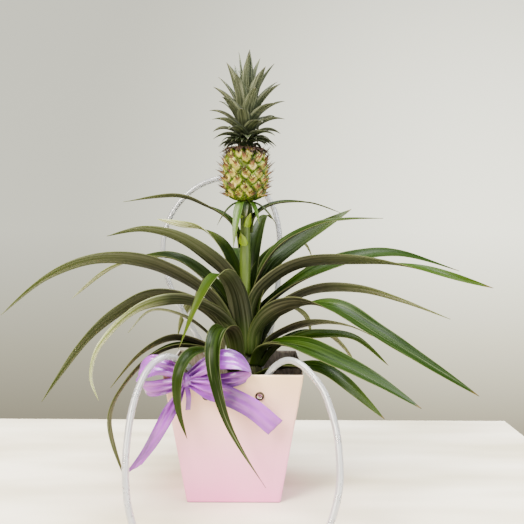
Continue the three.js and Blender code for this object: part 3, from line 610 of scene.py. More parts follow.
leafRule = {
    "along": 84, "across": 18, "rootThick": 2.0, "tipThick": 0.7, "edgeThin": 0.6,
    "rootFold": 0.9, "tipFold": 0.35, "rootWidth": 0.7, "leastWidth": 0.5, "taper": (2.4, 0.85),
    "ripple": 0.9, "rippleLength": 260, "seed": 11,
}
leaves = [
    # left, from the top down
    {"turn": 150, "width": 17, "roll": (0, -25, -10), "look": (0.1, 0.3, 0.2),
     "path": [[9, 316], [14, 338], [30, 356], [62, 371], [115, 386], [209, 380]]},
    {"turn": 160, "width": 34, "roll": (25, 20, -70), "look": (0.9, 0.2, 0.0),
     "path": [[9, 190], [10, 250], [26, 308], [58, 338], [98, 347], [130, 354]]},
    {"turn": 192, "width": 34, "roll": (-15, -42, -25), "look": (0.1, 0.5, 0.2),
     "path": [[12, 184], [13, 245], [28, 284], [80, 325], [130, 339], [177, 331]]},
    {"turn": 172, "width": 32, "roll": (15, 20, -25), "look": (0.45, 0.0, 0.1),
     "path": [[14, 180], [20, 232], [62, 283], [110, 304], [180, 288], [240, 245]]},
    {"turn": 192, "width": 36, "roll": (-20, -40, -20), "look": (0.12, 0.4, 0.2),
     "path": [[17, 174], [28, 222], [60, 260], [124, 294], [190, 300], [250, 278], [304, 234]]},
    {"turn": 197, "width": 34, "roll": (-20, -42, -30), "look": (0.05, 0.2, 0.3),
     "path": [[20, 168], [32, 210], [68, 242], [118, 254], [158, 238], [204, 200], [256, 130]]},
    {"turn": 217, "width": 28, "sweep": -22, "roll": (-15, -45, -45), "look": (1.0, 0.6, 0.0),
     "path": [[18, 172], [22, 208], [52, 236], [98, 251], [152, 243], [195, 206], [206, 170], [196, 139]]},
    {"turn": 186, "width": 17, "roll": (0, -20, -20), "look": (0.5, 0.1, 0.4),
     "path": [[23, 161], [42, 196], [80, 226], [122, 234], [152, 206]]},
    {"turn": 197, "width": 28, "roll": (-10, -25, -25), "look": (0.1, 0.1, 0.8),
     "path": [[23.5, 160], [48, 184], [84, 198], [112, 195], [142, 177], [174, 142]]},
    {"turn": 206, "width": 30, "roll": (0, -20, -35), "look": (0.1, 0.2, 0.5),
     "path": [[24, 156], [50, 182], [100, 191], [148, 164], [178, 110], [160, 30]]},
    # front
    {"turn": 255, "width": 38, "sweep": -48, "roll": (0, -8, -20), "taper": (1.7, 1.2),
     "look": (0.3, 0.6, 0.0),
     "path": [[14, 178], [16, 222], [28, 262], [58, 285], [88, 274], [108, 240], [114, 199]]},
    {"turn": 245, "width": 32, "sweep": 68, "roll": (0, 0, 0), "taper": (1.6, 1.35),
     "look": (0.1, 0.1, 0.9),
     "path": [[21, 167], [34, 200], [55, 216], [84, 217], [106, 198], [114, 162], [109, 110], [80, 35]]},
    {"turn": 235, "width": 19, "roll": (0, 15, 20), "look": (0.1, 0.2, 0.1),
     "path": [[24, 157], [46, 178], [80, 191], [112, 190], [131, 168], [130, 130], [115, 91]]},
    # right, from the top down
    {"turn": 30, "width": 15, "roll": (0, -10, 0), "look": (0.1, 0.3, 0.2),
     "path": [[9, 336], [13, 356], [32, 370], [60, 377], [104, 377], [153, 365]]},
    {"turn": 72, "width": 28, "roll": (0, 0, 0), "look": (0.1, 0.2, 0.0),
     "path": [[9, 191], [13, 262], [35, 315], [65, 350], [90, 361], [118, 356]]},
    {"turn": 30, "width": 40, "roll": (-20, -38, -30), "look": (0.1, 0.25, 0.3),
     "path": [[11, 187], [14, 250], [36, 293], [75, 320], [120, 344], [173, 370]]},
    {"turn": 6, "width": 28, "roll": (0, -10, -10), "look": (0.1, 0.35, 0.5),
     "path": [[10, 189], [14, 262], [42, 316], [93, 346], [135, 354], [185, 356]]},
    {"turn": 348, "width": 34, "roll": (25, 30, -58), "look": (0.1, 0.9, 0.2),
     "path": [[13.4, 182], [14.4, 240], [36, 272], [80, 295], [150, 299], [225, 292], [311, 270]]},
    {"turn": 10, "width": 34, "roll": (0, -30, -25), "look": (0.0, 0.5, 0.2),
     "path": [[15, 178], [17, 222], [41, 249], [90, 281], [150, 303], [215, 307], [301, 284]]},
    {"turn": 357, "width": 30, "roll": (20, 35, 15), "look": (0.2, 0.3, 0.4),
     "path": [[18, 172], [25, 212], [50, 240], [95, 260], [150, 261], [205, 247], [267, 225]]},
    {"turn": 333, "width": 38, "roll": (35, -25, -30), "look": (0.0, 0.45, 0.4),
     "path": [[16, 176], [20, 207], [44, 232], [85, 246], [130, 242], [176, 219], [235, 188], [299, 154]]},
    {"turn": 352, "width": 24, "roll": (20, 30, 10), "look": (0.2, 0.2, 0.8),
     "path": [[21, 166], [34, 193], [65, 211], [100, 219], [136, 216], [166, 204]]},
    {"turn": 345, "width": 24, "roll": (0, -25, -25), "look": (0.1, 0.25, 0.3),
     "path": [[23, 161], [38, 183], [62, 197], [100, 205], [145, 203], [187, 171]]},
    {"turn": 317, "width": 34, "roll": (-10, -30, -25), "look": (0.0, 0.45, 0.1),
     "path": [[22, 164], [32, 184], [56, 195], [98, 197], [150, 187], [205, 172], [262, 151]]},
    {"turn": 330, "width": 20, "roll": (0, -20, -20), "look": (0.1, 0.4, 0.1),
     "path": [[20, 168], [34, 190], [62, 198], [96, 198], [133, 194]]},
    {"turn": 322, "width": 28, "roll": (0, -20, -30), "look": (0.1, 0.4, 0.1),
     "path": [[24.5, 150], [44, 159], [72, 167], [112, 171.5], [150, 160], [206, 125]]},
    # back
    {"turn": 43, "width": 24, "roll": (0, 0, 0), "look": (0.3, 0.3, 0.2),
     "path": [[20, 168], [40, 206], [80, 230], [116, 216], [128, 188]]},
    {"turn": 50, "width": 22, "roll": (0, 0, 0), "look": (0.3, 0.3, 0.2),
     "path": [[16, 176], [22, 236], [48, 290], [92, 322], [130, 320], [150, 300]]},
    {"turn": 95, "width": 34, "roll": (0, 10, 0), "look": (0.2, 0.4, 0.2),
     "path": [[12, 184], [20, 242], [55, 288], [112, 312], [180, 302], [240, 262]]},
    {"turn": 112, "width": 32, "roll": (0, -10, 0), "look": (0.2, 0.5, 0.2),
     "path": [[17, 174], [32, 222], [80, 258], [140, 264], [205, 236], [250, 190]]},
    {"turn": 128, "width": 28, "roll": (0, -10, 0), "look": (0.3, 0.3, 0.3),
     "path": [[19, 170], [34, 206], [75, 236], [118, 238], [152, 214], [172, 178]]},
    {"turn": 80, "width": 30, "roll": (0, 0, 0), "look": (0.2, 0.4, 0.3),
     "path": [[22, 163], [44, 196], [90, 216], [140, 204], [180, 160], [196, 112]]},
    {"turn": 106, "width": 30, "roll": (0, 0, 0), "look": (0.2, 0.2, 0.5),
     "path": [[24, 157], [52, 184], [100, 192], [145, 170], [176, 122], [186, 70]]},
    {"turn": 20, "width": 28, "roll": (0, 10, 0), "look": (0.2, 0.3, 0.3),
     "path": [[24, 158], [46, 182], [85, 200], [120, 195], [150, 170], [166, 142]]},
]


def leafTop():
    # Waxed upper face of a bromeliad leaf: deep green with hair-fine pale lines along it, a thin
    # straw margin, pale wax on the worn ones, older tips fading to straw, and a soft gloss
    material, add, shader = newMaterial("waxedLeafTop")
    spot, part, look = bladeMarks(add)
    grains = ((7, 260, 9), 2.0), ((10, 620, 5), 1.0), ((16, 60, 3), 2.0), ((12, 420, 8), 1.5)
    streak, hair, patch, wax = (
        add("TexNoise", {"Vector": along, "Scale": 1.0, "Detail": detail})
        for along, detail in ((add("Mapping", {"Vector": spot, "Scale": x}), y) for x, y in grains)
    )
    deep = add("ValToRGB", {0: streak}, stops=[(0.3, "#050a01"), (0.5, "#0f1a03"), (0.7, "#1d2c06")])
    bright = add("ValToRGB", {0: streak}, stops=[(0.3, "#0e1f01"), (0.5, "#1d3602"), (0.7, "#38560a")])
    calm = add("Mix", {0: look[1], 6: "#0d1703", 7: "#183002"}, **colours)
    old = add("MapRange", {0: part[0], 1: 0.55, 2: 1.0, 4: 0.7})
    worn = add("MapRange", {0: wax, 1: 0.58, 2: 0.74, 4: 0.6})
    body = add("Mix", {0: look[1], 6: deep, 7: bright}, **colours)
    # each layer's share and colour; the lines run together towards the tip
    for share, colour in (
        (add("Math", {0: patch, 1: 0.5}, **times), "#0d1a03"),
        (add("MapRange", {0: hair, 1: 0.52, 2: 0.72, 4: 0.35}), "#4c6126"),
        (add("MapRange", {0: part[0], 1: 0.2, 2: 0.65, 4: 0.75}), calm),
        (add("Math", {0: worn, 1: look[2]}, **times), "#7c8664"),
        (add("Math", {0: old, 1: look[0]}, **times), "#7c8c26"),
        (add("MapRange", {0: part[1], 1: 0.93, 2: 1.0, 4: 0.35}), "#7f8a4c"),
        (add("MapRange", {0: part[0], 1: 0.965, 2: 0.99}), "#4d3d1e"),
    ):
        body = add("Mix", {0: share, 6: body, 7: colour}, **colours)
    connect(shader, {
        "Base Color": body, "Roughness": add("MapRange", {0: streak, 1: 0.35, 2: 0.65, 3: 0.26, 4: 0.5}),
        "Specular IOR Level": 0.07,
    })
    return material


def leafUnderside():
    # Grey scales in lines cover the lower face: olive grey with pale stripes, nearly matt,
    # greener towards the root and the tip, washed to cream on the oldest and the youngest leaves
    material, add, shader = newMaterial("scurfyLeafUnderside")
    spot, part, look = bladeMarks(add)
    grains = ((4, 330, 7), 1.5), ((9, 700, 4), 1.0)
    stripe, hair = (
        add("TexNoise", {"Vector": along, "Scale": 1.0, "Detail": detail})
        for along, detail in ((add("Mapping", {"Vector": spot, "Scale": x}), y) for x, y in grains)
    )
    olive = add("ValToRGB", {0: stripe}, stops=[(0.3, "#12160e"), (0.5, "#25281a"), (0.7, "#484a38")])
    brown = add("ValToRGB", {0: stripe}, stops=[(0.3, "#1a1711"), (0.5, "#302b22"), (0.7, "#524a3a")])
    cream = add("ValToRGB", {0: stripe}, stops=[(0.35, "#7f8c48"), (0.5, "#b4bc88"), (0.68, "#dde2c4")])
    calm = add("Mix", {0: look[2], 6: "#2b3020", 7: "#373127"}, **colours)
    green = add("ValToRGB", {0: part[0]}, stops=[
        (0.0, "#ffffff"), (0.22, "#404040"), (0.4, "#202020"), (0.85, "#c0c0c0"),
    ])
    wash = add("MapRange", {0: part[0], 1: 0.45, 2: 0.8, 3: 0.0116})
    body = add("Mix", {0: look[2], 6: olive, 7: brown}, **colours)
    for share, colour in (
        (add("MapRange", {0: hair, 1: 0.5, 2: 0.7, 4: 0.3}), "#646450"),
        (add("MapRange", {0: part[0], 1: 0.2, 2: 0.65, 4: 0.75}), calm),
        (add("Math", {0: green, 1: 0.65}, **times), "#364d08"),
        (add("Math", {0: wash, 1: look[0]}, **times), cream),
        (add("MapRange", {0: part[1], 1: 0.93, 2: 1.0, 4: 0.3}), "#6f7340"),
    ):
        body = add("Mix", {0: share, 6: body, 7: colour}, **colours)
    connect(shader, {"Base Color": body, "Roughness": 0.5, "Specular IOR Level": 0.05})
    return material


def bladeSlab(middle, thick, run, aside, share, look, seedNumber):
    # two faces half the thickness off the middle surface, along its normals, and the edge.
    # run, aside and share are each point's length along, distance across and share of the length
    shapeOf = middle.shape[:2]
    normal = unit(np.cross(np.gradient(middle, axis=0), np.gradient(middle, axis=1)))
    offset = 0.5 * np.broadcast_to(thick, shapeOf)[..., None] * normal
    both = np.concatenate([(middle + side * offset).reshape(-1, 3) for side in (1, -1)])
    fromMiddle = np.abs(np.linspace(-1, 1, shapeOf[1]))
    along, across, part, beside = (
        np.tile(np.broadcast_to(x, shapeOf).ravel(), 2) for x in (run, aside, share, fromMiddle)
    )
    count = len(both)
    table = np.column_stack([
        along * mm, across * mm, np.full(count, seedNumber), part, beside, np.zeros(count),
        np.tile(look, (count, 1)),
    ])
    top, under, edge = slabFaces(*shapeOf)
    materials = np.r_[np.zeros(len(top)), np.ones(len(under) + len(edge))]
    return both, np.concatenate([top, under, edge[:, ::-1]]), materials, table


def archedFace(spine, across, inward, width, fold, v):
    # each section is an arc of half angle fold, as long as the width, with its hollow inward
    angle = fold * v
    radius = width / 2 / fold
    return (
        spine[:, None]
        + (radius * np.sin(angle))[..., None] * across[:, None]
        + (radius * (1 - np.cos(angle)))[..., None] * inward[:, None]
    )


def leafShape(leaf, number):
    # the middle line runs in its plane; the section is an arc that is folded more at the root;
    # the blade is widest at a third and drawn out to a point, and its edges ripple a little
    rule = leafRule
    rng = np.random.default_rng(rule["seed"] + number)
    u = np.linspace(0, 1, rule["along"])
    v = np.linspace(-1, 1, rule["across"] + 1)
    path = routeThrough(leaf["path"], rule["along"], centripetal=False)
    outward, sideways = compass(leaf["turn"]), compass(leaf["turn"] + 90)
    sweep = (leaf.get("sweep", 0) * u**2)[:, None] * sideways
    spine = path[:, :1] * outward + path[:, 1:] * np.array([0, 0, 1.0]) + sweep
    length = lengthOf(spine)
    along = unit(np.gradient(spine, axis=0))
    across = unit(sideways - along * (along @ sideways)[:, None])
    early, middle, tip = leaf["roll"]
    toMiddle, toTip = (middle - early) * ease(u, 0.2, 0.5), (tip - middle) * ease(u, 0.5, 1)
    roll = np.radians(early * ease(u, 0, 0.2) + toMiddle + toTip)[:, None]
    across = across * np.cos(roll) - np.cross(along, across) * np.sin(roll)
    inward = np.cross(along, across)
    full, drawn = leaf.get("taper", rule["taper"])
    taper = np.maximum(0, 1 - u**full) ** drawn
    width = leaf["width"] * lerp(rule["rootWidth"], 1, ease(u, 0, 0.25)) * taper
    width = np.maximum(width, rule["leastWidth"])[:, None]
    fold = lerp(rule["rootFold"], rule["tipFold"], u)[:, None]
    waves = sum(
        rng.normal(0, 1) * np.sin(2 * np.pi * k * u * length / rule["rippleLength"] + rng.uniform(0, 6.3)) / k
        for k in (1, 2, 3, 5)
    )
    ripple = (waves * rule["ripple"] * ease(u, 0.15, 0.5) * taper)[:, None] * v**2 * np.sign(v)
    face = archedFace(spine, across, inward, width, fold, v) + ripple[..., None] * inward[:, None]
    thick = lerp(rule["rootThick"], rule["tipThick"], u)[:, None] * (1 - rule["edgeThin"] * v**4)
    share = u[:, None]
    return bladeSlab(
        face + [plantX, 0, 0], thick, share * length, width / 2 * v, share, leaf["look"], number * 0.37,
    )


def makeLeaves():
    faces = [leafTop(), leafUnderside()]
    for number, leaf in enumerate(leaves, 1):
        shape = leafShape(leaf, number)
        addPiece("leaf%02d" % number, "leaf_%02d" % number, shape, faces, markNames)


makeLeaves()
print("leaves made")


# Small blades: the crown's leaves and the bracts of stalk and fruit share this shape

bladeRule = {"fallPower": 1.9, "leastWidth": 0.25, "tipThin": 0.5, "edgeThin": 0.5}


def smallBlade(
    base, direction, length, width, droop, seedNumber, look, steps=14, fold=0.8, thick=0.8,
    start=0.75, belly=0.35, hook=(0, 0, 0), columns=7,
):
    # the middle line is base + length*u*direction + droop*u**2 + hook*u**4; the width grows from
    # its start share to full at the belly and falls to a point like a lance; the section is an arc
    u = np.linspace(0, 1, steps)[:, None]
    v = np.linspace(-1, 1, columns)
    forward = unit(np.asarray(direction, float))
    spine = base + forward * u * length + np.asarray(droop, float) * u**2 + np.asarray(hook, float) * u**4
    along = unit(np.gradient(spine, axis=0))
    side = unit(np.cross([0, 0, 1.0], forward))
    across = unit(side - along * (along @ side)[:, None])
    rise = ease(u, 0, belly)
    fall = 1 - np.clip((u - belly) / (1 - belly), 0, 1) ** bladeRule["fallPower"]
    w = np.maximum(width * lerp(start, 1, rise) * fall, bladeRule["leastWidth"])
    face = archedFace(spine, across, np.cross(along, across), w, fold, v)
    t = thick * lerp(1, bladeRule["tipThin"], u) * (1 - bladeRule["edgeThin"] * v**4)
    return bladeSlab(face, t, u * length, w / 2 * v, u, look, seedNumber)


# Short stem: a club wrapped in the stubs of old leaf bases

stem = {
    "profile": [[15, 88.5], [18, 114.5], [25, 148], [20.5, 166], [8, 188]], "sides": 72, "rows": 70,
    "rowsOfStubs": 9, "stubs": 11, "proud": 0.8, "stubsFrom": (116, 122),
}
stalk = {
    "profile": [[7, 188.3], [7, 300], [6.4, 360], [8.4, 377.5]], "rows": 80, "sides": 48, "swell": 0.03,
    # each bract's compass angle, height, rise for each step outward, length, width and droop;
    # those with no droop clasp the stalk
    "bracts": [
        [245, 314, 2.2, 24, 14, 0], [300, 338, 2.2, 26, 13, 0], [75, 322, 2, 20, 11, 0],
        [200, 350, 2, 20, 10, 0], [238, 373, -0.6, 24, 15, 48], [318, 373, -0.5, 20, 10, 22],
        [196, 372, -0.15, 31, 9, 26], [343, 372, -0.15, 36, 9, 25], [275, 372, -0.8, 12, 8, 14],
        [75, 372, -0.3, 30, 8, 24], [115, 372, -0.4, 28, 7, 22],
    ],
    "narrow": 10,  # hanging bracts narrower than this are dark
}


def fibrousStem():
    # Old leaf bases and bark: straw to brown fibres that run up the stem
    material, add, shader = newMaterial("fibrousStem")
    stretched = add("Mapping", {"Vector": add("TexCoord", out="Object"), "Scale": (1, 1, 0.12)})
    fibre = add("TexNoise", {"Vector": stretched, "Scale": 420, "Detail": 4.0})
    body = add("ValToRGB", {0: fibre}, stops=[(0.3, "#1c1c0c"), (0.5, "#3c3f1b"), (0.7, "#6a6a38")])
    relief = add("Bump", {"Height": fibre, "Distance": 0.0006, "Strength": 0.8})
    connect(shader, {"Base Color": body, "Roughness": 0.8, "Normal": relief})
    return material


def greenStalk():
    # Fresh fruit stalk: yellow green, finely ribbed along its length, with a soft sheen
    material, add, shader = newMaterial("freshGreenStalk")
    spot = add("TexCoord", out="Object")
    stretched = add("Mapping", {"Vector": spot, "Scale": (1, 1, 0.05)})
    rib = add("TexNoise", {"Vector": stretched, "Scale": 700})
    patch = add("Math", {0: add("TexNoise", {"Vector": spot, "Scale": 45}), 1: 0.35}, **times)
    body = add("Mix", {0: rib, 6: "#203002", 7: "#4a620a"}, **colours)
    connect(shader, {
        "Base Color": add("Mix", {0: patch, 6: body, 7: "#66743a"}, **colours), "Roughness": 0.45,
        "Normal": add("Bump", {"Height": rib, "Distance": 0.0003, "Strength": 0.7}),
    })
    return material


def greenBract():
    # Bracts: fresh yellow green with fine veins, dry and brown at the tips. look is how yellow
    # it is, how far from dark, and how dry its tip
    material, add, shader = newMaterial("freshBract")
    spot, part, look = bladeMarks(add)
    stretched = add("Mapping", {"Vector": spot, "Scale": (25, 1500, 6)})
    vein = add("TexNoise", {"Vector": stretched, "Scale": 1.0})
    fresh, yellow, dark = (
        add("Mix", {0: vein, 6: low, 7: high}, **colours)
        for low, high in (("#1a3204", "#4e7618"), ("#4c6802", "#86a008"), ("#101c04", "#2a3f0c"))
    )
    body = add("Mix", {0: look[0], 6: fresh, 7: yellow}, **colours)
    body = add("Mix", {0: look[1], 6: dark, 7: body}, **colours)
    tip = add("Math", {0: add("MapRange", {0: part[0], 1: 0.55, 2: 0.95}), 1: look[2]}, **times)
    connect(shader, {
        "Base Color": add("Mix", {0: tip, 6: body, 7: "#6a4532"}, **colours), "Roughness": 0.45,
        "Normal": add("Bump", {"Height": vein, "Distance": 0.0002, "Strength": 0.7}),
    })
    return material


def makeStem():
    # a profile turned upright, less a saw tooth in height for each row of stubs; a sine of the
    # angle scallops the teeth, and those of one row stand between the next row's
    rows, sides = stem["rows"], stem["sides"]
    profile = np.array(stem["profile"], float)
    z = np.linspace(profile[0, 1], profile[-1, 1], rows)
    r = np.interp(z, profile[:, 1], profile[:, 0])
    a = roundTurn(sides)
    step = (z - z[0]) / (z[-1] - z[0]) * stem["rowsOfStubs"]
    tooth = (step % 1)[:, None]
    scallop = np.abs(np.sin((stem["stubs"] * a[None, :] + np.pi * np.floor(step)[:, None]) / 2))
    cover = ease(z, *stem["stubsFrom"])[:, None]
    radius = r[:, None] - stem["proud"] * cover * (1 - scallop * (1 - tooth) ** 0.6)
    points, faces = cappedRings(ringPoints(radius, z, a), sides, [[0, 0, z[0]], [0, 0, z[-1]]])
    shape = plain(points + [plantX, 0, 0], faces)
    addPiece("shortStem", "short_stem", shape, [fibrousStem()], fixNormals=True)


def makeStalk():
    # a profile turned upright with a faint sine swell; clasping bracts stand close to it, and
    # the hanging ones start further out and bend down by their droop
    profile = np.array(stalk["profile"], float)
    z = np.linspace(profile[0, 1], profile[-1, 1], stalk["rows"])
    r = np.interp(z, profile[:, 1], profile[:, 0]) * (1 + stalk["swell"] * np.sin(z / 9.0))
    core, faces = turned(np.column_stack([r, z]), stalk["sides"])
    shapes = [(core, faces, np.full(len(faces), 2), np.zeros((len(core), 9)))]
    for number, (turn, height, rise, length, width, fall) in enumerate(stalk["bracts"]):
        outward = compass(turn)
        out, up, start = (7, 4, 0.8) if fall else (4, 0, 0.3)
        dark = 0 < fall and width < stalk["narrow"]
        look = (float(fall == 0), 0.1 if dark else 1.0, 0.2)
        shapes.append(smallBlade(
            outward * out + [0, 0, height + up], outward + [0, 0, rise], length, width, [0, 0, -fall],
            number * 0.7, look, steps=24, start=start, thick=1.0,
        ))
    points, faces, materials, table = merged(shapes)
    bract = greenBract()
    shape = (points + [plantX, 0, 0], faces, materials, table)
    addPiece("fruitStalk", "fruit_stalk", shape, [bract, bract, greenStalk()], markNames)


makeStem()
makeStalk()
print("stem and stalk made")


# Fruit: a barrel of bulging eyes set in crossing spirals, each under a pointed bract

fruit = {
    "z": 412.5, "radius": 26.5, "halfHeight": 34.7, "endRadius": 11.0, "eyesAround": 10, "eyeRows": 7,
    "eyeRise": 3.5, "groove": 1.1, "upperLift": 1.5, "dimple": 1.1, "endFade": 4, "finePerEye": 26, "seed": 3,
    # an eye's outline is a rounded diamond: this power of both distances, then drawn in a little
    "diamond": 1.35, "drawnIn": 1.1, "stray": 0.26,  # stray: how far it may lie off its place
    "swell": (0.65, 0.5), "swellPower": 0.6, "grooveWide": 0.1, "dimpleWide": 0.16,
    "bractLength": 13.5, "bractWidth": 7.0, "footOut": 1.2, "bitLengths": (0.65, 1.2), "petalWidth": 0.3,
    "bitSway": 2.0, "bitLift": (-0.5, 1.5), "bitTilt": 0.18, "bitTurn": 0.25,
    # each eye's bits: how far aside, share of the length, share of a row below, curl outwards
    "bits": [
        (0.0, 0.95, 0.45, 2.5), (-2.2, 0.75, 0.1, 1.0), (1.9, 0.7, 0.05, 0.3), (0.3, 0.8, -0.1, -1.0),
        (-0.8, 0.6, 0.0, 2.0),
    ],
    "collar": 36, "collarRadius": 14.0, "collarSunk": 2.0, "collarLength": 17.0, "collarWidth": 6.0,
    "collarDroop": (-17, -8),
}


def barrel(z):  # radius at a height: a superellipse that ends in small flat ends
    s = np.clip(np.abs(z) / fruit["halfHeight"], 0, 1)
    return fruit["endRadius"] + (fruit["radius"] - fruit["endRadius"]) * np.sqrt(1 - s**2.6)


def fruitRind():
    # Half-ripe rind: cream and yellow-green swellings, green in the seams with painted shade
    # along the grooves where two eyes meet, waxy sheen
    material, add, shader = newMaterial("halfRipeRind")
    # spot here is the distance from the eye's middle, the height in it and a random number
    mark = add("Attribute", out="Vector", attribute_name="spot")
    far, _, chance = add("SeparateXYZ", {0: mark}, out=None)
    patch = add("TexNoise", {"Vector": add("TexCoord", out="Object"), "Scale": 130, "Detail": 3.0})
    middle = add("ValToRGB", {0: patch}, stops=[(0.35, "#77761a"), (0.5, "#b3a246"), (0.68, "#dcc98a")])
    green = add("ValToRGB", {0: patch}, stops=[(0.35, "#1e2e03"), (0.65, "#4a680a")])
    where = add("Math", {0: far, 1: add("Math", {0: patch, 1: 0.45}, **times)})
    body = middle
    for share, colour in (
        (add("MapRange", {0: where, 1: 0.8, 2: 1.0}), green),
        # near black where two eyes meet: painted shade in the groove
        (add("MapRange", {0: far, 1: 0.93, 2: 1.0, 4: 0.8}), "#141e03"),
        (add("Math", {0: chance, 1: 0.35}, **times), "#7c8c1a"),
        (add("MapRange", {0: far, 1: 0.1, 2: 0.34, 3: 0.7, 4: 0.0}), "#7a4a26"),
    ):
        body = add("Mix", {0: share, 6: body, 7: colour}, **colours)
    connect(shader, {
        "Base Color": body, "Roughness": 0.4, "Specular IOR Level": 0.3,
        "Subsurface Weight": 0.08, "Subsurface Radius": (0.004, 0.003, 0.001),
        "Normal": add("Bump", {"Height": patch, "Distance": 0.0005, "Strength": 0.5}),
    })
    return material


def dryBract():
    # The eye's bract: straw at its broad foot, pink brown and papery towards the tip; look's
    # last share blends it to near black: random withering, and painted shade on the top row, collar and
    # bottom row
    material, add, shader = newMaterial("paperyFruitBract")
    spot, part, look = bladeMarks(add)
    stretched = add("Mapping", {"Vector": spot, "Scale": (60, 1800, 6)})
    vein = add("TexNoise", {"Vector": stretched, "Scale": 1.0})
    body = add("ValToRGB", {0: part[0]}, stops=[
        (0.0, "#8c8c30"), (0.3, "#bcaa58"), (0.5, "#92602c"), (0.75, "#4c2414"), (1.0, "#240f0b"),
    ])
    dark = add("Mix", {0: vein, 6: "#0e0405", 7: "#2e1410"}, **colours)
    body = add("Mix", {0: look[2], 6: body, 7: dark}, **colours)
    pale = add("Math", {0: vein, 1: 0.06}, **times)
    connect(shader, {
        "Base Color": add("Mix", {0: pale, 6: body, 7: "#c9ac7c"}, **colours), "Roughness": 0.6,
        "Normal": add("Bump", {"Height": vein, "Distance": 0.0002, "Strength": 0.7}),
    })
    return material


def rindShape(rng, pitch):
    # the barrel's radius by height and angle, plus a swelling over the nearest eye: high in its
    # middle, a groove where two eyes meet, the upper half standing out, a dimple at the heart
    rule = fruit
    half, rowCount, eyesAround = rule["halfHeight"], rule["eyeRows"], rule["eyesAround"]
    around, rows = rule["finePerEye"] * eyesAround, (rowCount + 1) * rule["finePerEye"]
    eyeRandom = rng.uniform(0, 1, (rowCount + 2, eyesAround + 1))
    stray = rng.uniform(-rule["stray"], rule["stray"], (2, rowCount + 2, eyesAround))
    z = np.linspace(-half, half, rows)
    a = roundTurn(around)
    row = (z + half)[:, None] / pitch  # 1 at the first row of eyes
    turnShare = a[None, :] * eyesAround / (2 * np.pi)
    best = np.full((rows, around), 9.0)
    rise, chosen = np.zeros((2, rows, around))
    power = rule["diamond"]
    for k in range(1, rowCount + 1):
        shift = 0.0 if k % 2 else 0.5  # the eyes of even rows stand between those of odd rows
        nearest = np.round(turnShare - shift)
        which = (nearest % eyesAround).astype(int)
        across = (turnShare - shift - nearest) / 0.5 + stray[0, k, which]
        up = row - k + stray[1, k, which]
        far = (np.abs(across) ** power + np.abs(up) ** power) ** (1 / power) * rule["drawnIn"]
        closer = far < best
        best, rise = np.where(closer, far, best), np.where(closer, up, rise)
        chosen = np.where(closer, eyeRandom[k, which], chosen)
    swell = np.clip(1 - best**3, 0, 1) ** rule["swellPower"]
    least, more = rule["swell"]
    height = rule["eyeRise"] * (least + more * chosen) * swell
    height -= rule["groove"] * np.exp(-(((best - 1) / rule["grooveWide"]) ** 2))
    height += rule["upperLift"] * swell * rise
    height -= rule["dimple"] * np.exp(-((best / rule["dimpleWide"]) ** 2))
    ends = ease(z, -half, -half + rule["endFade"]) * (1 - ease(z, half - rule["endFade"], half))
    radius = barrel(z)[:, None] + height * ends[:, None]
    points, faces = cappedRings(ringPoints(radius, z, a), around, [[0, 0, z[0]], [0, 0, z[-1]]])
    table = np.zeros((len(points), 9))
    table[:rows * around, :3] = np.column_stack([best.ravel(), rise.ravel(), chosen.ravel()])
    return points, faces[:, ::-1], np.full(len(faces), 2), table


def eyeBits(rng, pitch, k, j):
    # a bract hugs the eye's lower half, and four small dried petals stand round its middle; all
    # lean up and outwards, more upwards the higher the eye, and stray a little at random
    rule = fruit
    zEye = k * pitch - rule["halfHeight"]
    turn = 360 * (j + (0.0 if k % 2 else 0.5)) / rule["eyesAround"]
    outward, sideways = compass(turn), compass(turn + 90)
    # the top row, under the crown, is fully dark and the bottom row 0.6: painted shade; the rows between
    # wither at random
    dark = 1.0 if k == rule["eyeRows"] else (0.6 if k == 1 else rng.uniform(0, 0.8))
    tilt = zEye / rule["halfHeight"]
    for part, (aside, size, low, out) in enumerate(rule["bits"]):
        base = outward * (barrel(zEye) + rule["footOut"]) + sideways * aside + [0, 0, zEye - low * pitch]
        sway = sideways * (aside * 0.9 + rng.normal(0, rule["bitSway"])) + outward * out
        sway = sway + [0, 0, rng.uniform(*rule["bitLift"])]
        forward = outward * (0.8 - 0.2 * tilt) + [0, 0, 0.75 + 0.45 * tilt + rng.normal(0, rule["bitTilt"])]
        forward = forward + sideways * rng.normal(0, rule["bitTurn"])
        length = rule["bractLength"] * size * rng.uniform(*rule["bitLengths"])
        share, look = (1.0, dark) if part == 0 else (rule["petalWidth"], 0.75)
        yield smallBlade(
            base, forward, length, rule["bractWidth"] * share, sway, rng.uniform(0, 9), (0, 0, look),
            steps=7, fold=0.9, thick=0.5, start=0.9, belly=0.15, columns=5,
        )


def makeFruit():
    # the rind, the bits on each eye and the collar of bracts, all one mesh
    rule = fruit
    pitch = 2 * rule["halfHeight"] / (rule["eyeRows"] + 1)
    rng = np.random.default_rng(rule["seed"])
    shapes = [rindShape(rng, pitch)]
    for k in range(1, rule["eyeRows"] + 1):
        for j in range(rule["eyesAround"]):
            shapes += eyeBits(rng, pitch, k, j)
    # a collar of withered bracts lies round the fruit's top, under the crown, fully dark as painted shade
    for k in range(rule["collar"]):
        outward = compass(360 * (k + rng.uniform(-0.3, 0.3)) / rule["collar"])
        base = outward * rule["collarRadius"] + [0, 0, rule["halfHeight"] - rule["collarSunk"]]
        forward = outward + [0, 0, rng.uniform(0.1, 0.5)]
        sway = [0, 0, rng.uniform(*rule["collarDroop"])]
        shapes.append(smallBlade(
            base, forward, rule["collarLength"] * rng.uniform(0.85, 1.2), rule["collarWidth"], sway,
            rng.uniform(0, 9), (0, 0, 1.0), steps=12, fold=0.7, thick=0.5, start=0.9, belly=0.2,
            hook=outward * 2 + [0, 0, rng.uniform(0, 5)],
        ))
    points, faces, materials, table = merged(shapes)
    dry = dryBract()
    shape = (points + [plantX, 0, rule["z"]], faces, materials, table)
    addPiece("fruitBody", "fruit", shape, [dry, dry, fruitRind()], markNames)


makeFruit()
print("fruit made")


# Crown: a rosette of stiff grey-green leaves on a short core

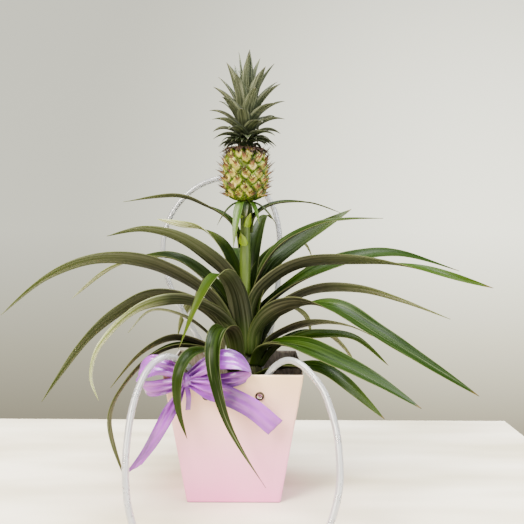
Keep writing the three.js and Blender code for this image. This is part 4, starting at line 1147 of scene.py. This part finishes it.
crown = {
    "z": 447.5, "coreRadius": 10.0, "coreShoulder": 20, "coreTop": 3.0, "coreHeight": 44.0, "sides": 32,
    "leaves": 40, "height": 126.0, "reach": 50.0, "lean": 5.0, "width": 21.0, "curve": 0.6,
    "rootFrom": 1.3, "rootBelowTop": 10, "bendOut": 0.3, "bendDown": 0.35, "tipHook": 10.0, "seed": 8,
    # the skirt's small leaves: how many, how far they reach, how high they lie
    "skirt": 22, "skirtReach": 29.0, "skirtHeight": 3.0, "skirtWidth": 9.5,
}


def crownLeaf():
    # Crown leaf: stiff, grey green with a dull bloom, paler stripes and darker margins; look's
    # first share is how dark it is, low in the crown
    material, add, shader = newMaterial("dullCrownLeaf")
    spot, part, look = bladeMarks(add)
    stretched = add("Mapping", {"Vector": spot, "Scale": (12, 520, 5)})
    stripe = add("TexNoise", {"Vector": stretched, "Scale": 1.0})
    body = add("ValToRGB", {0: stripe}, stops=[(0.32, "#222a16"), (0.5, "#404830"), (0.68, "#6f755c")])
    dark = add("ValToRGB", {0: stripe}, stops=[(0.35, "#121a08"), (0.65, "#2e3a1c")])
    for share, colour in (
        (look[0], dark),
        (add("MapRange", {0: part[1], 1: 0.85, 2: 1.0, 4: 0.5}), "#1e1f0d"),
        (add("MapRange", {0: part[0], 1: 0.92, 2: 1.0, 4: 0.5}), "#4a3d28"),
    ):
        body = add("Mix", {0: share, 6: body, 7: colour}, **colours)
    relief = add("Bump", {"Height": stripe, "Distance": 0.00015, "Strength": 0.8})
    connect(shader, {"Base Color": body, "Roughness": 0.5, "Normal": relief})
    return material


def makeCrown():
    # leaf i stands a golden angle on from the last; its tip's reach shrinks and its height grows
    # with its rank, and droop and hook bend it outwards and down on the way there
    rule = crown
    rng = np.random.default_rng(rule["seed"])
    wide = rule["coreRadius"]
    profile = [[wide, 0], [wide, rule["coreShoulder"]], [rule["coreTop"], rule["coreHeight"]]]
    core, faces = turned(profile, rule["sides"])
    marks = np.zeros((len(core), 9))
    marks[:, 6] = 1  # the core is as dark as the lowest leaves
    shapes = [(core, faces, np.zeros(len(faces)), marks)]
    golden = 180 * (3 - math.sqrt(5))
    for i in range(rule["leaves"]):
        rank = i / (rule["leaves"] - 1)
        outward = compass(i * golden)
        base = outward * 2 + [0, 0, rule["rootFrom"] + rank * (rule["coreHeight"] - rule["rootBelowTop"])]
        spread = 0.8 + 0.2 * float(ease(rank, 0, 0.3))
        tip = outward * rule["reach"] * spread * (1 - rank**5) ** 0.6
        tip = tip + [rule["lean"] * rank, 0, lerp(1, rule["height"], rank**1.2)]
        bend = np.linalg.norm(tip - base) * (1 - rule["curve"] * rank)
        droop = outward * rule["bendOut"] * bend + [0, 0, -rule["bendDown"] * bend]
        hook = np.array([0, 0, -rule["tipHook"] * (1 - rank)])
        direction = tip - droop - hook - base
        look = (max(0.0, 1 - 2.2 * rank), 0, 0)
        shapes.append(smallBlade(
            base, direction, np.linalg.norm(direction), rule["width"], droop, rng.uniform(0, 9), look,
            steps=24, fold=0.75, thick=1.0, start=0.75, belly=0.38, hook=hook,
        ))
    for k in range(rule["skirt"]):
        outward = compass(360 * (k + rng.uniform(-0.3, 0.3)) / rule["skirt"])
        base = outward * 7 + [0, 0, rule["skirtHeight"] + rng.uniform(-1, 5)]
        reach = rule["skirtReach"] * rng.uniform(0.75, 1.1)
        direction = outward + [0, 0, rng.uniform(0.25, 0.6)]
        shapes.append(smallBlade(
            base, direction, reach, rule["skirtWidth"], [0, 0, -0.3 * reach], rng.uniform(0, 9), (1.0, 0, 0),
            steps=14, fold=0.75, thick=0.9, start=0.8, belly=0.4, hook=[0, 0, -0.2 * reach],
        ))
    points, faces, materials, table = merged(shapes)
    surface = crownLeaf()
    shape = (points + [plantX, 0, rule["z"]], faces, materials, table)
    addPiece("crownRosette", "crown", shape, [surface, surface], markNames)


makeCrown()
print("crown made")


# Bow: one satin ribbon tied round the front handle's left end. Each strip has the points of its
# middle line and the direction in which its width runs at each of them.

ribbon = {
    "width": 28.0, "thick": 0.5, "strand": 6.0, "columns": 25, "pleat": 3.1, "pleatWaves": 1.15,
    "leftLoop": (
        [[-57, -91, 163], [-74, -92, 175], [-94, -93, 179], [-112, -92, 167], [-104, -90, 151],
         [-80, -90.5, 153], [-57, -91.5, 160]],
        [[0.1, 0.5, 1], [0.1, 0.35, 1], [-0.2, 0.5, 1], [0, 1, 0.4], [0.1, 0.6, -0.8], [0.1, 0.4, -1],
         [0.1, 0.5, -1]],
    ),
    "rightLoop": (
        [[-55, -91, 163], [-36, -93, 177], [-12, -95, 187], [8, -95, 183], [21, -93, 169],
         [-5, -91.5, 161], [-55, -91.5, 161]],
        [[-0.1, 0.5, 1], [-0.1, 0.5, 1], [0.2, 0.6, 1], [0.3, 1, 0.4], [0, 1, -0.4], [-0.1, 0.4, -1],
         [-0.1, 0.5, -1]],
    ),
    "rightTail": (
        [[-56, -93, 160], [-32, -95, 152], [-6, -95, 143], [22, -93, 128.5], [51, -90, 104]],
        [[0.3, 0, 1], [0.3, 0, 1], [0.3, 0, 1], [0.5, 0, 1], [0.7, 0, 0.7]],
    ),
    "leftTail": (
        [[-57, -93, 158], [-69, -97, 136], [-82, -99, 110], [-99, -97, 80], [-118, -94, 54]],
        [[1, 0, 0.4], [1, 0.1, 0.4], [1, 0, 0.4], [1, -0.1, 0.5], [1, 0, 0.6]],
    ),
    "shortStrand": (
        [[-55, -94, 158], [-52, -96, 142], [-53, -94, 126]], [[1, 0, 0.1], [1, 0.3, 0], [1, 0, 0.1]],
    ),
    "knot": (-56.0, -92.0, 161.0), "knotSize": (7.5, 5.5, 9.0), "knotRows": 40, "knotSides": 56,
    "knotCrease": 0.07, "knotCreases": 7,
}


def satin():
    # Polyester satin ribbon: lilac, floats of thread that run along it give a silky
    # one-way sheen, with a firm woven edge; broad patches of painted fold shade and painted highlight
    material, add, shader = newMaterial("lilacSatin")
    spot, part, _ = bladeMarks(add)
    thread, shade = (
        add("TexNoise", {"Vector": add("Mapping", {"Vector": spot, "Scale": grain}), "Scale": 1.0})
        for grain in ((60, 5000, 4), (24, 50, 3))
    )
    # dark to light purple in broad patches: painted fold shade and painted highlight
    body = add("ValToRGB", {0: shade}, stops=[(0.36, "#4e0e68"), (0.64, "#9636b4")])
    for share, colour in (
        (add("Math", {0: thread, 1: 0.15}, **times), "#b066cc"),
        (add("MapRange", {0: part[1], 1: 0.9, 2: 0.96, 4: 0.3}), "#5c2a80"),
    ):
        body = add("Mix", {0: share, 6: body, 7: colour}, **colours)
    connect(shader, {
        "Base Color": body, "Roughness": 0.22, "Specular IOR Level": 0.75, "Sheen Weight": 0.15,
        "Anisotropic": 0.7,
        "Normal": add("Bump", {"Height": thread, "Distance": 0.00012, "Strength": 0.6}),
    })
    return material


def ribbonStrip(route, faces, width, steps, seedNumber, pleats):
    # the ribbon's middle line and the way its width runs are both curves through given
    # points; sine pleats across the width gather it near the knot and die out away from it
    u = np.linspace(0, 1, steps)
    v = np.linspace(-1, 1, ribbon["columns"])
    line = splineAt(route, u * (len(route) - 1))
    across = unit(splineAt([unit(np.array(f, float)) for f in faces], u * (len(faces) - 1)))
    normal = unit(np.cross(unit(np.gradient(line, axis=0)), across))
    w = width(u)
    waves = np.sin(2 * ribbon["pleatWaves"] * np.pi * v[None, :] + 3 * seedNumber)
    ripple = ribbon["pleat"] * pleats(u)[:, None] * waves
    aside = w[:, None] / 2 * v
    middle = line[:, None] + aside[..., None] * across[:, None] + ripple[..., None] * normal[:, None]
    length = lengthOf(line)
    share = u[:, None]
    slab = bladeSlab(middle, ribbon["thick"], share * length, aside, share, (0, 0, 0), seedNumber)
    return slab, length, float(w.mean()) * length


def knotShape():
    # an egg, by the angle t down from its top and a round it, with creases that run round it
    rows, sides = ribbon["knotRows"], ribbon["knotSides"]
    t = np.linspace(0.02, np.pi - 0.02, rows)[:, None]
    a = roundTurn(sides)
    wave = np.sin(ribbon["knotCreases"] * a + 1.5 * np.cos(t)) * np.sin(t)
    radius = np.sin(t) * (1 + ribbon["knotCrease"] * wave)
    rings = ringPoints(radius, np.cos(t[:, 0]), a)
    egg, faces = cappedRings(rings, sides, [[0, 0, 1.0], [0, 0, -1.0]])
    egg = egg * ribbon["knotSize"] + ribbon["knot"]
    table = np.zeros((len(egg), 9))
    table[:, 0:3] = egg * mm
    return egg, faces, np.zeros(len(faces)), table


def makeBow():
    # the loops are widest in their middles by a sine, and the tails spread away from the knot;
    # each strip's last value says how strong its pleats are along it
    whole = ribbon["width"]
    gathered = lambda u: whole * (0.35 + 0.65 * np.sin(np.pi * u))
    spread = lambda u: whole * lerp(0.3, 0.86, ease(u, 0, 0.35))
    even = lambda u: np.full_like(u, ribbon["strand"])
    nearEnds = lambda u: 1 - 0.8 * ease(np.sin(np.pi * u), 0.15, 0.95)
    nearStart = lambda u: 1 - 0.85 * ease(u, 0.05, 0.6)
    none = lambda u: 0 * u
    shapes, lengths, areas = zip(
        ribbonStrip(*ribbon["leftLoop"], gathered, 90, 1.0, nearEnds),
        ribbonStrip(*ribbon["rightLoop"], gathered, 90, 2.0, nearEnds),
        ribbonStrip(*ribbon["rightTail"], spread, 60, 3.0, nearStart),
        ribbonStrip(*ribbon["leftTail"], spread, 60, 4.0, nearStart),
        ribbonStrip(*ribbon["shortStrand"], even, 24, 5.0, none),
    )
    lilac = satin()
    shape = merged([*shapes, knotShape()])
    piece = addPiece("satinBow", "ribbon_bow", shape, [lilac, lilac], markNames)
    total = sum(lengths) * mm
    round(sum(areas) * mm * mm, 5)
    print("ribbon is", round(total, 3), "m long")


makeBow()
print("bow made")


# Table, soft light and a plain backdrop colour

studio = {
    "tableLeft": -1.3, "tableRight": 0.47, "tableFront": -0.93, "tableBack": 0.313,
    "tableThick": 0.02, "tableDrop": 0.0002,
    "lights": [
        # name, place, aimed at, width, height, watts, colour
        ("windowLight", (-1.0, -1.3, 1.5), (0, 0, 0.2), 0.8, 1.0, 128, "#fff4e4"),
        ("fillLight", (1.4, -1.2, 0.9), (0, 0, 0.2), 1.0, 1.0, 32, "#f6f8ff"),
        ("topLight", (0.2, -0.1, 1.8), (0.05, 0, 0.2), 1.2, 1.0, 112, "#ffffff"),
    ],
    # the backdrop by its height over the horizon, as a slope from the camera, and its glow to the right
    "backdrop": [(-0.30, "#857f6c"), (-0.17, "#ada994"), (0.0, "#d4d3c1"), (0.4, "#cfcebe")],
    "backdropStrength": 1.55, "glowPlace": (0.37, 0.03), "glowReach": 0.66, "glowStrength": 1.6,
    "ambientShare": 0.55,
}


def makeTable():
    x = studio["tableLeft"], studio["tableRight"]
    y = studio["tableFront"], studio["tableBack"]
    z = -studio["tableThick"], -studio["tableDrop"]
    corners = [(a, b, c) for c in z for b in y for a in x]
    sides = [(0, 2, 3, 1), (4, 5, 7, 6), (0, 1, 5, 4), (2, 6, 7, 3), (0, 4, 6, 2), (1, 3, 7, 5)]
    mesh = bpy.data.meshes.new("paleTable")
    mesh.from_pydata(corners, [], sides)
    table = bpy.data.objects.new("paleTable", mesh)
    bpy.context.collection.objects.link(table)
    # Lacquered board, matt, with faint cloudiness a hand wide, stretched into streaks that are
    # partly its own tone and partly painted window light and soft shadow
    material, add, shader = newMaterial("paleLacqueredBoard")
    stretched = add("Mapping", {"Vector": add("TexCoord", out="Object"), "Scale": (0.6, 2.5, 1)})
    cloud = add("TexNoise", {"Vector": stretched, "Scale": 4})
    # pale and darker streaks: partly painted window light and soft shadow
    body = add("ValToRGB", {0: cloud}, stops=[(0.35, "#d6cdb2"), (0.6, "#f7f0dd")])
    connect(shader, {"Base Color": body, "Roughness": 0.8, "Specular IOR Level": 0.1})
    mesh.materials.append(material)


def makeLights():
    for name, spot, target, w, h, watts, colour in studio["lights"]:
        data = bpy.data.lights.new(name, "AREA")
        data.shape, data.size, data.size_y = "RECTANGLE", w, h
        data.energy = watts
        data.color = linear(colour)[:3]
        lamp = bpy.data.objects.new(name, data)
        bpy.context.collection.objects.link(lamp)
        lamp.location = spot
        lamp.rotation_euler = (Vector(target) - Vector(spot)).to_track_quat("-Z", "Y").to_euler()


def makeBackdrop():
    # the sky's colour by direction: a ramp on height over |y|, brighter in a soft round glow
    world = bpy.data.worlds.new("plainBackdrop")
    bpy.context.scene.world = world
    world.use_nodes = True
    add = partial(addNode, world.node_tree)
    x, y, z = add("SeparateXYZ", {0: add("TexCoord", out="Generated")}, out=None)
    depth = add("Math", {0: add("Math", {0: y}, operation="ABSOLUTE"), 1: 0.2}, operation="MAXIMUM")
    slope, across = (add("Math", {0: part, 1: depth}, operation="DIVIDE") for part in (z, x))
    stops = studio["backdrop"]
    low, high = stops[0][0], stops[-1][0]
    height = add("MapRange", {0: slope, 1: low, 2: high})
    wall = add("ValToRGB", {0: height}, stops=[((at - low) / (high - low), colour) for at, colour in stops])
    squares = []
    for place, middle in zip((across, slope), studio["glowPlace"]):
        off = add("Math", {0: add("Math", {0: place, 1: middle}, operation="SUBTRACT")}, operation="ABSOLUTE")
        squares.append(add("Math", {0: off, 1: 2.0}, operation="POWER"))
    far = add("Math", {0: add("Math", {0: squares[0], 1: squares[1]}), 1: 0.5}, operation="POWER")
    glow = add("MapRange", {
        0: far, 1: studio["glowReach"], 2: 0.0, 3: 0.0, 4: studio["glowStrength"],
    }, interpolation_type="SMOOTHSTEP")
    strength = add("Math", {0: add("Math", {0: glow, 1: 1.0}), 1: studio["backdropStrength"]}, **times)
    # the backdrop lights the scene with only a share of the brightness that it is seen at
    seen = add("LightPath", out="Is Camera Ray")
    share = add("MapRange", {0: seen, 3: studio["ambientShare"], 4: 1.0})
    connect(world.node_tree.nodes["Background"], {
        "Color": wall, "Strength": add("Math", {0: strength, 1: share}, **times),
    })


makeTable()
makeLights()
makeBackdrop()
print("studio made")
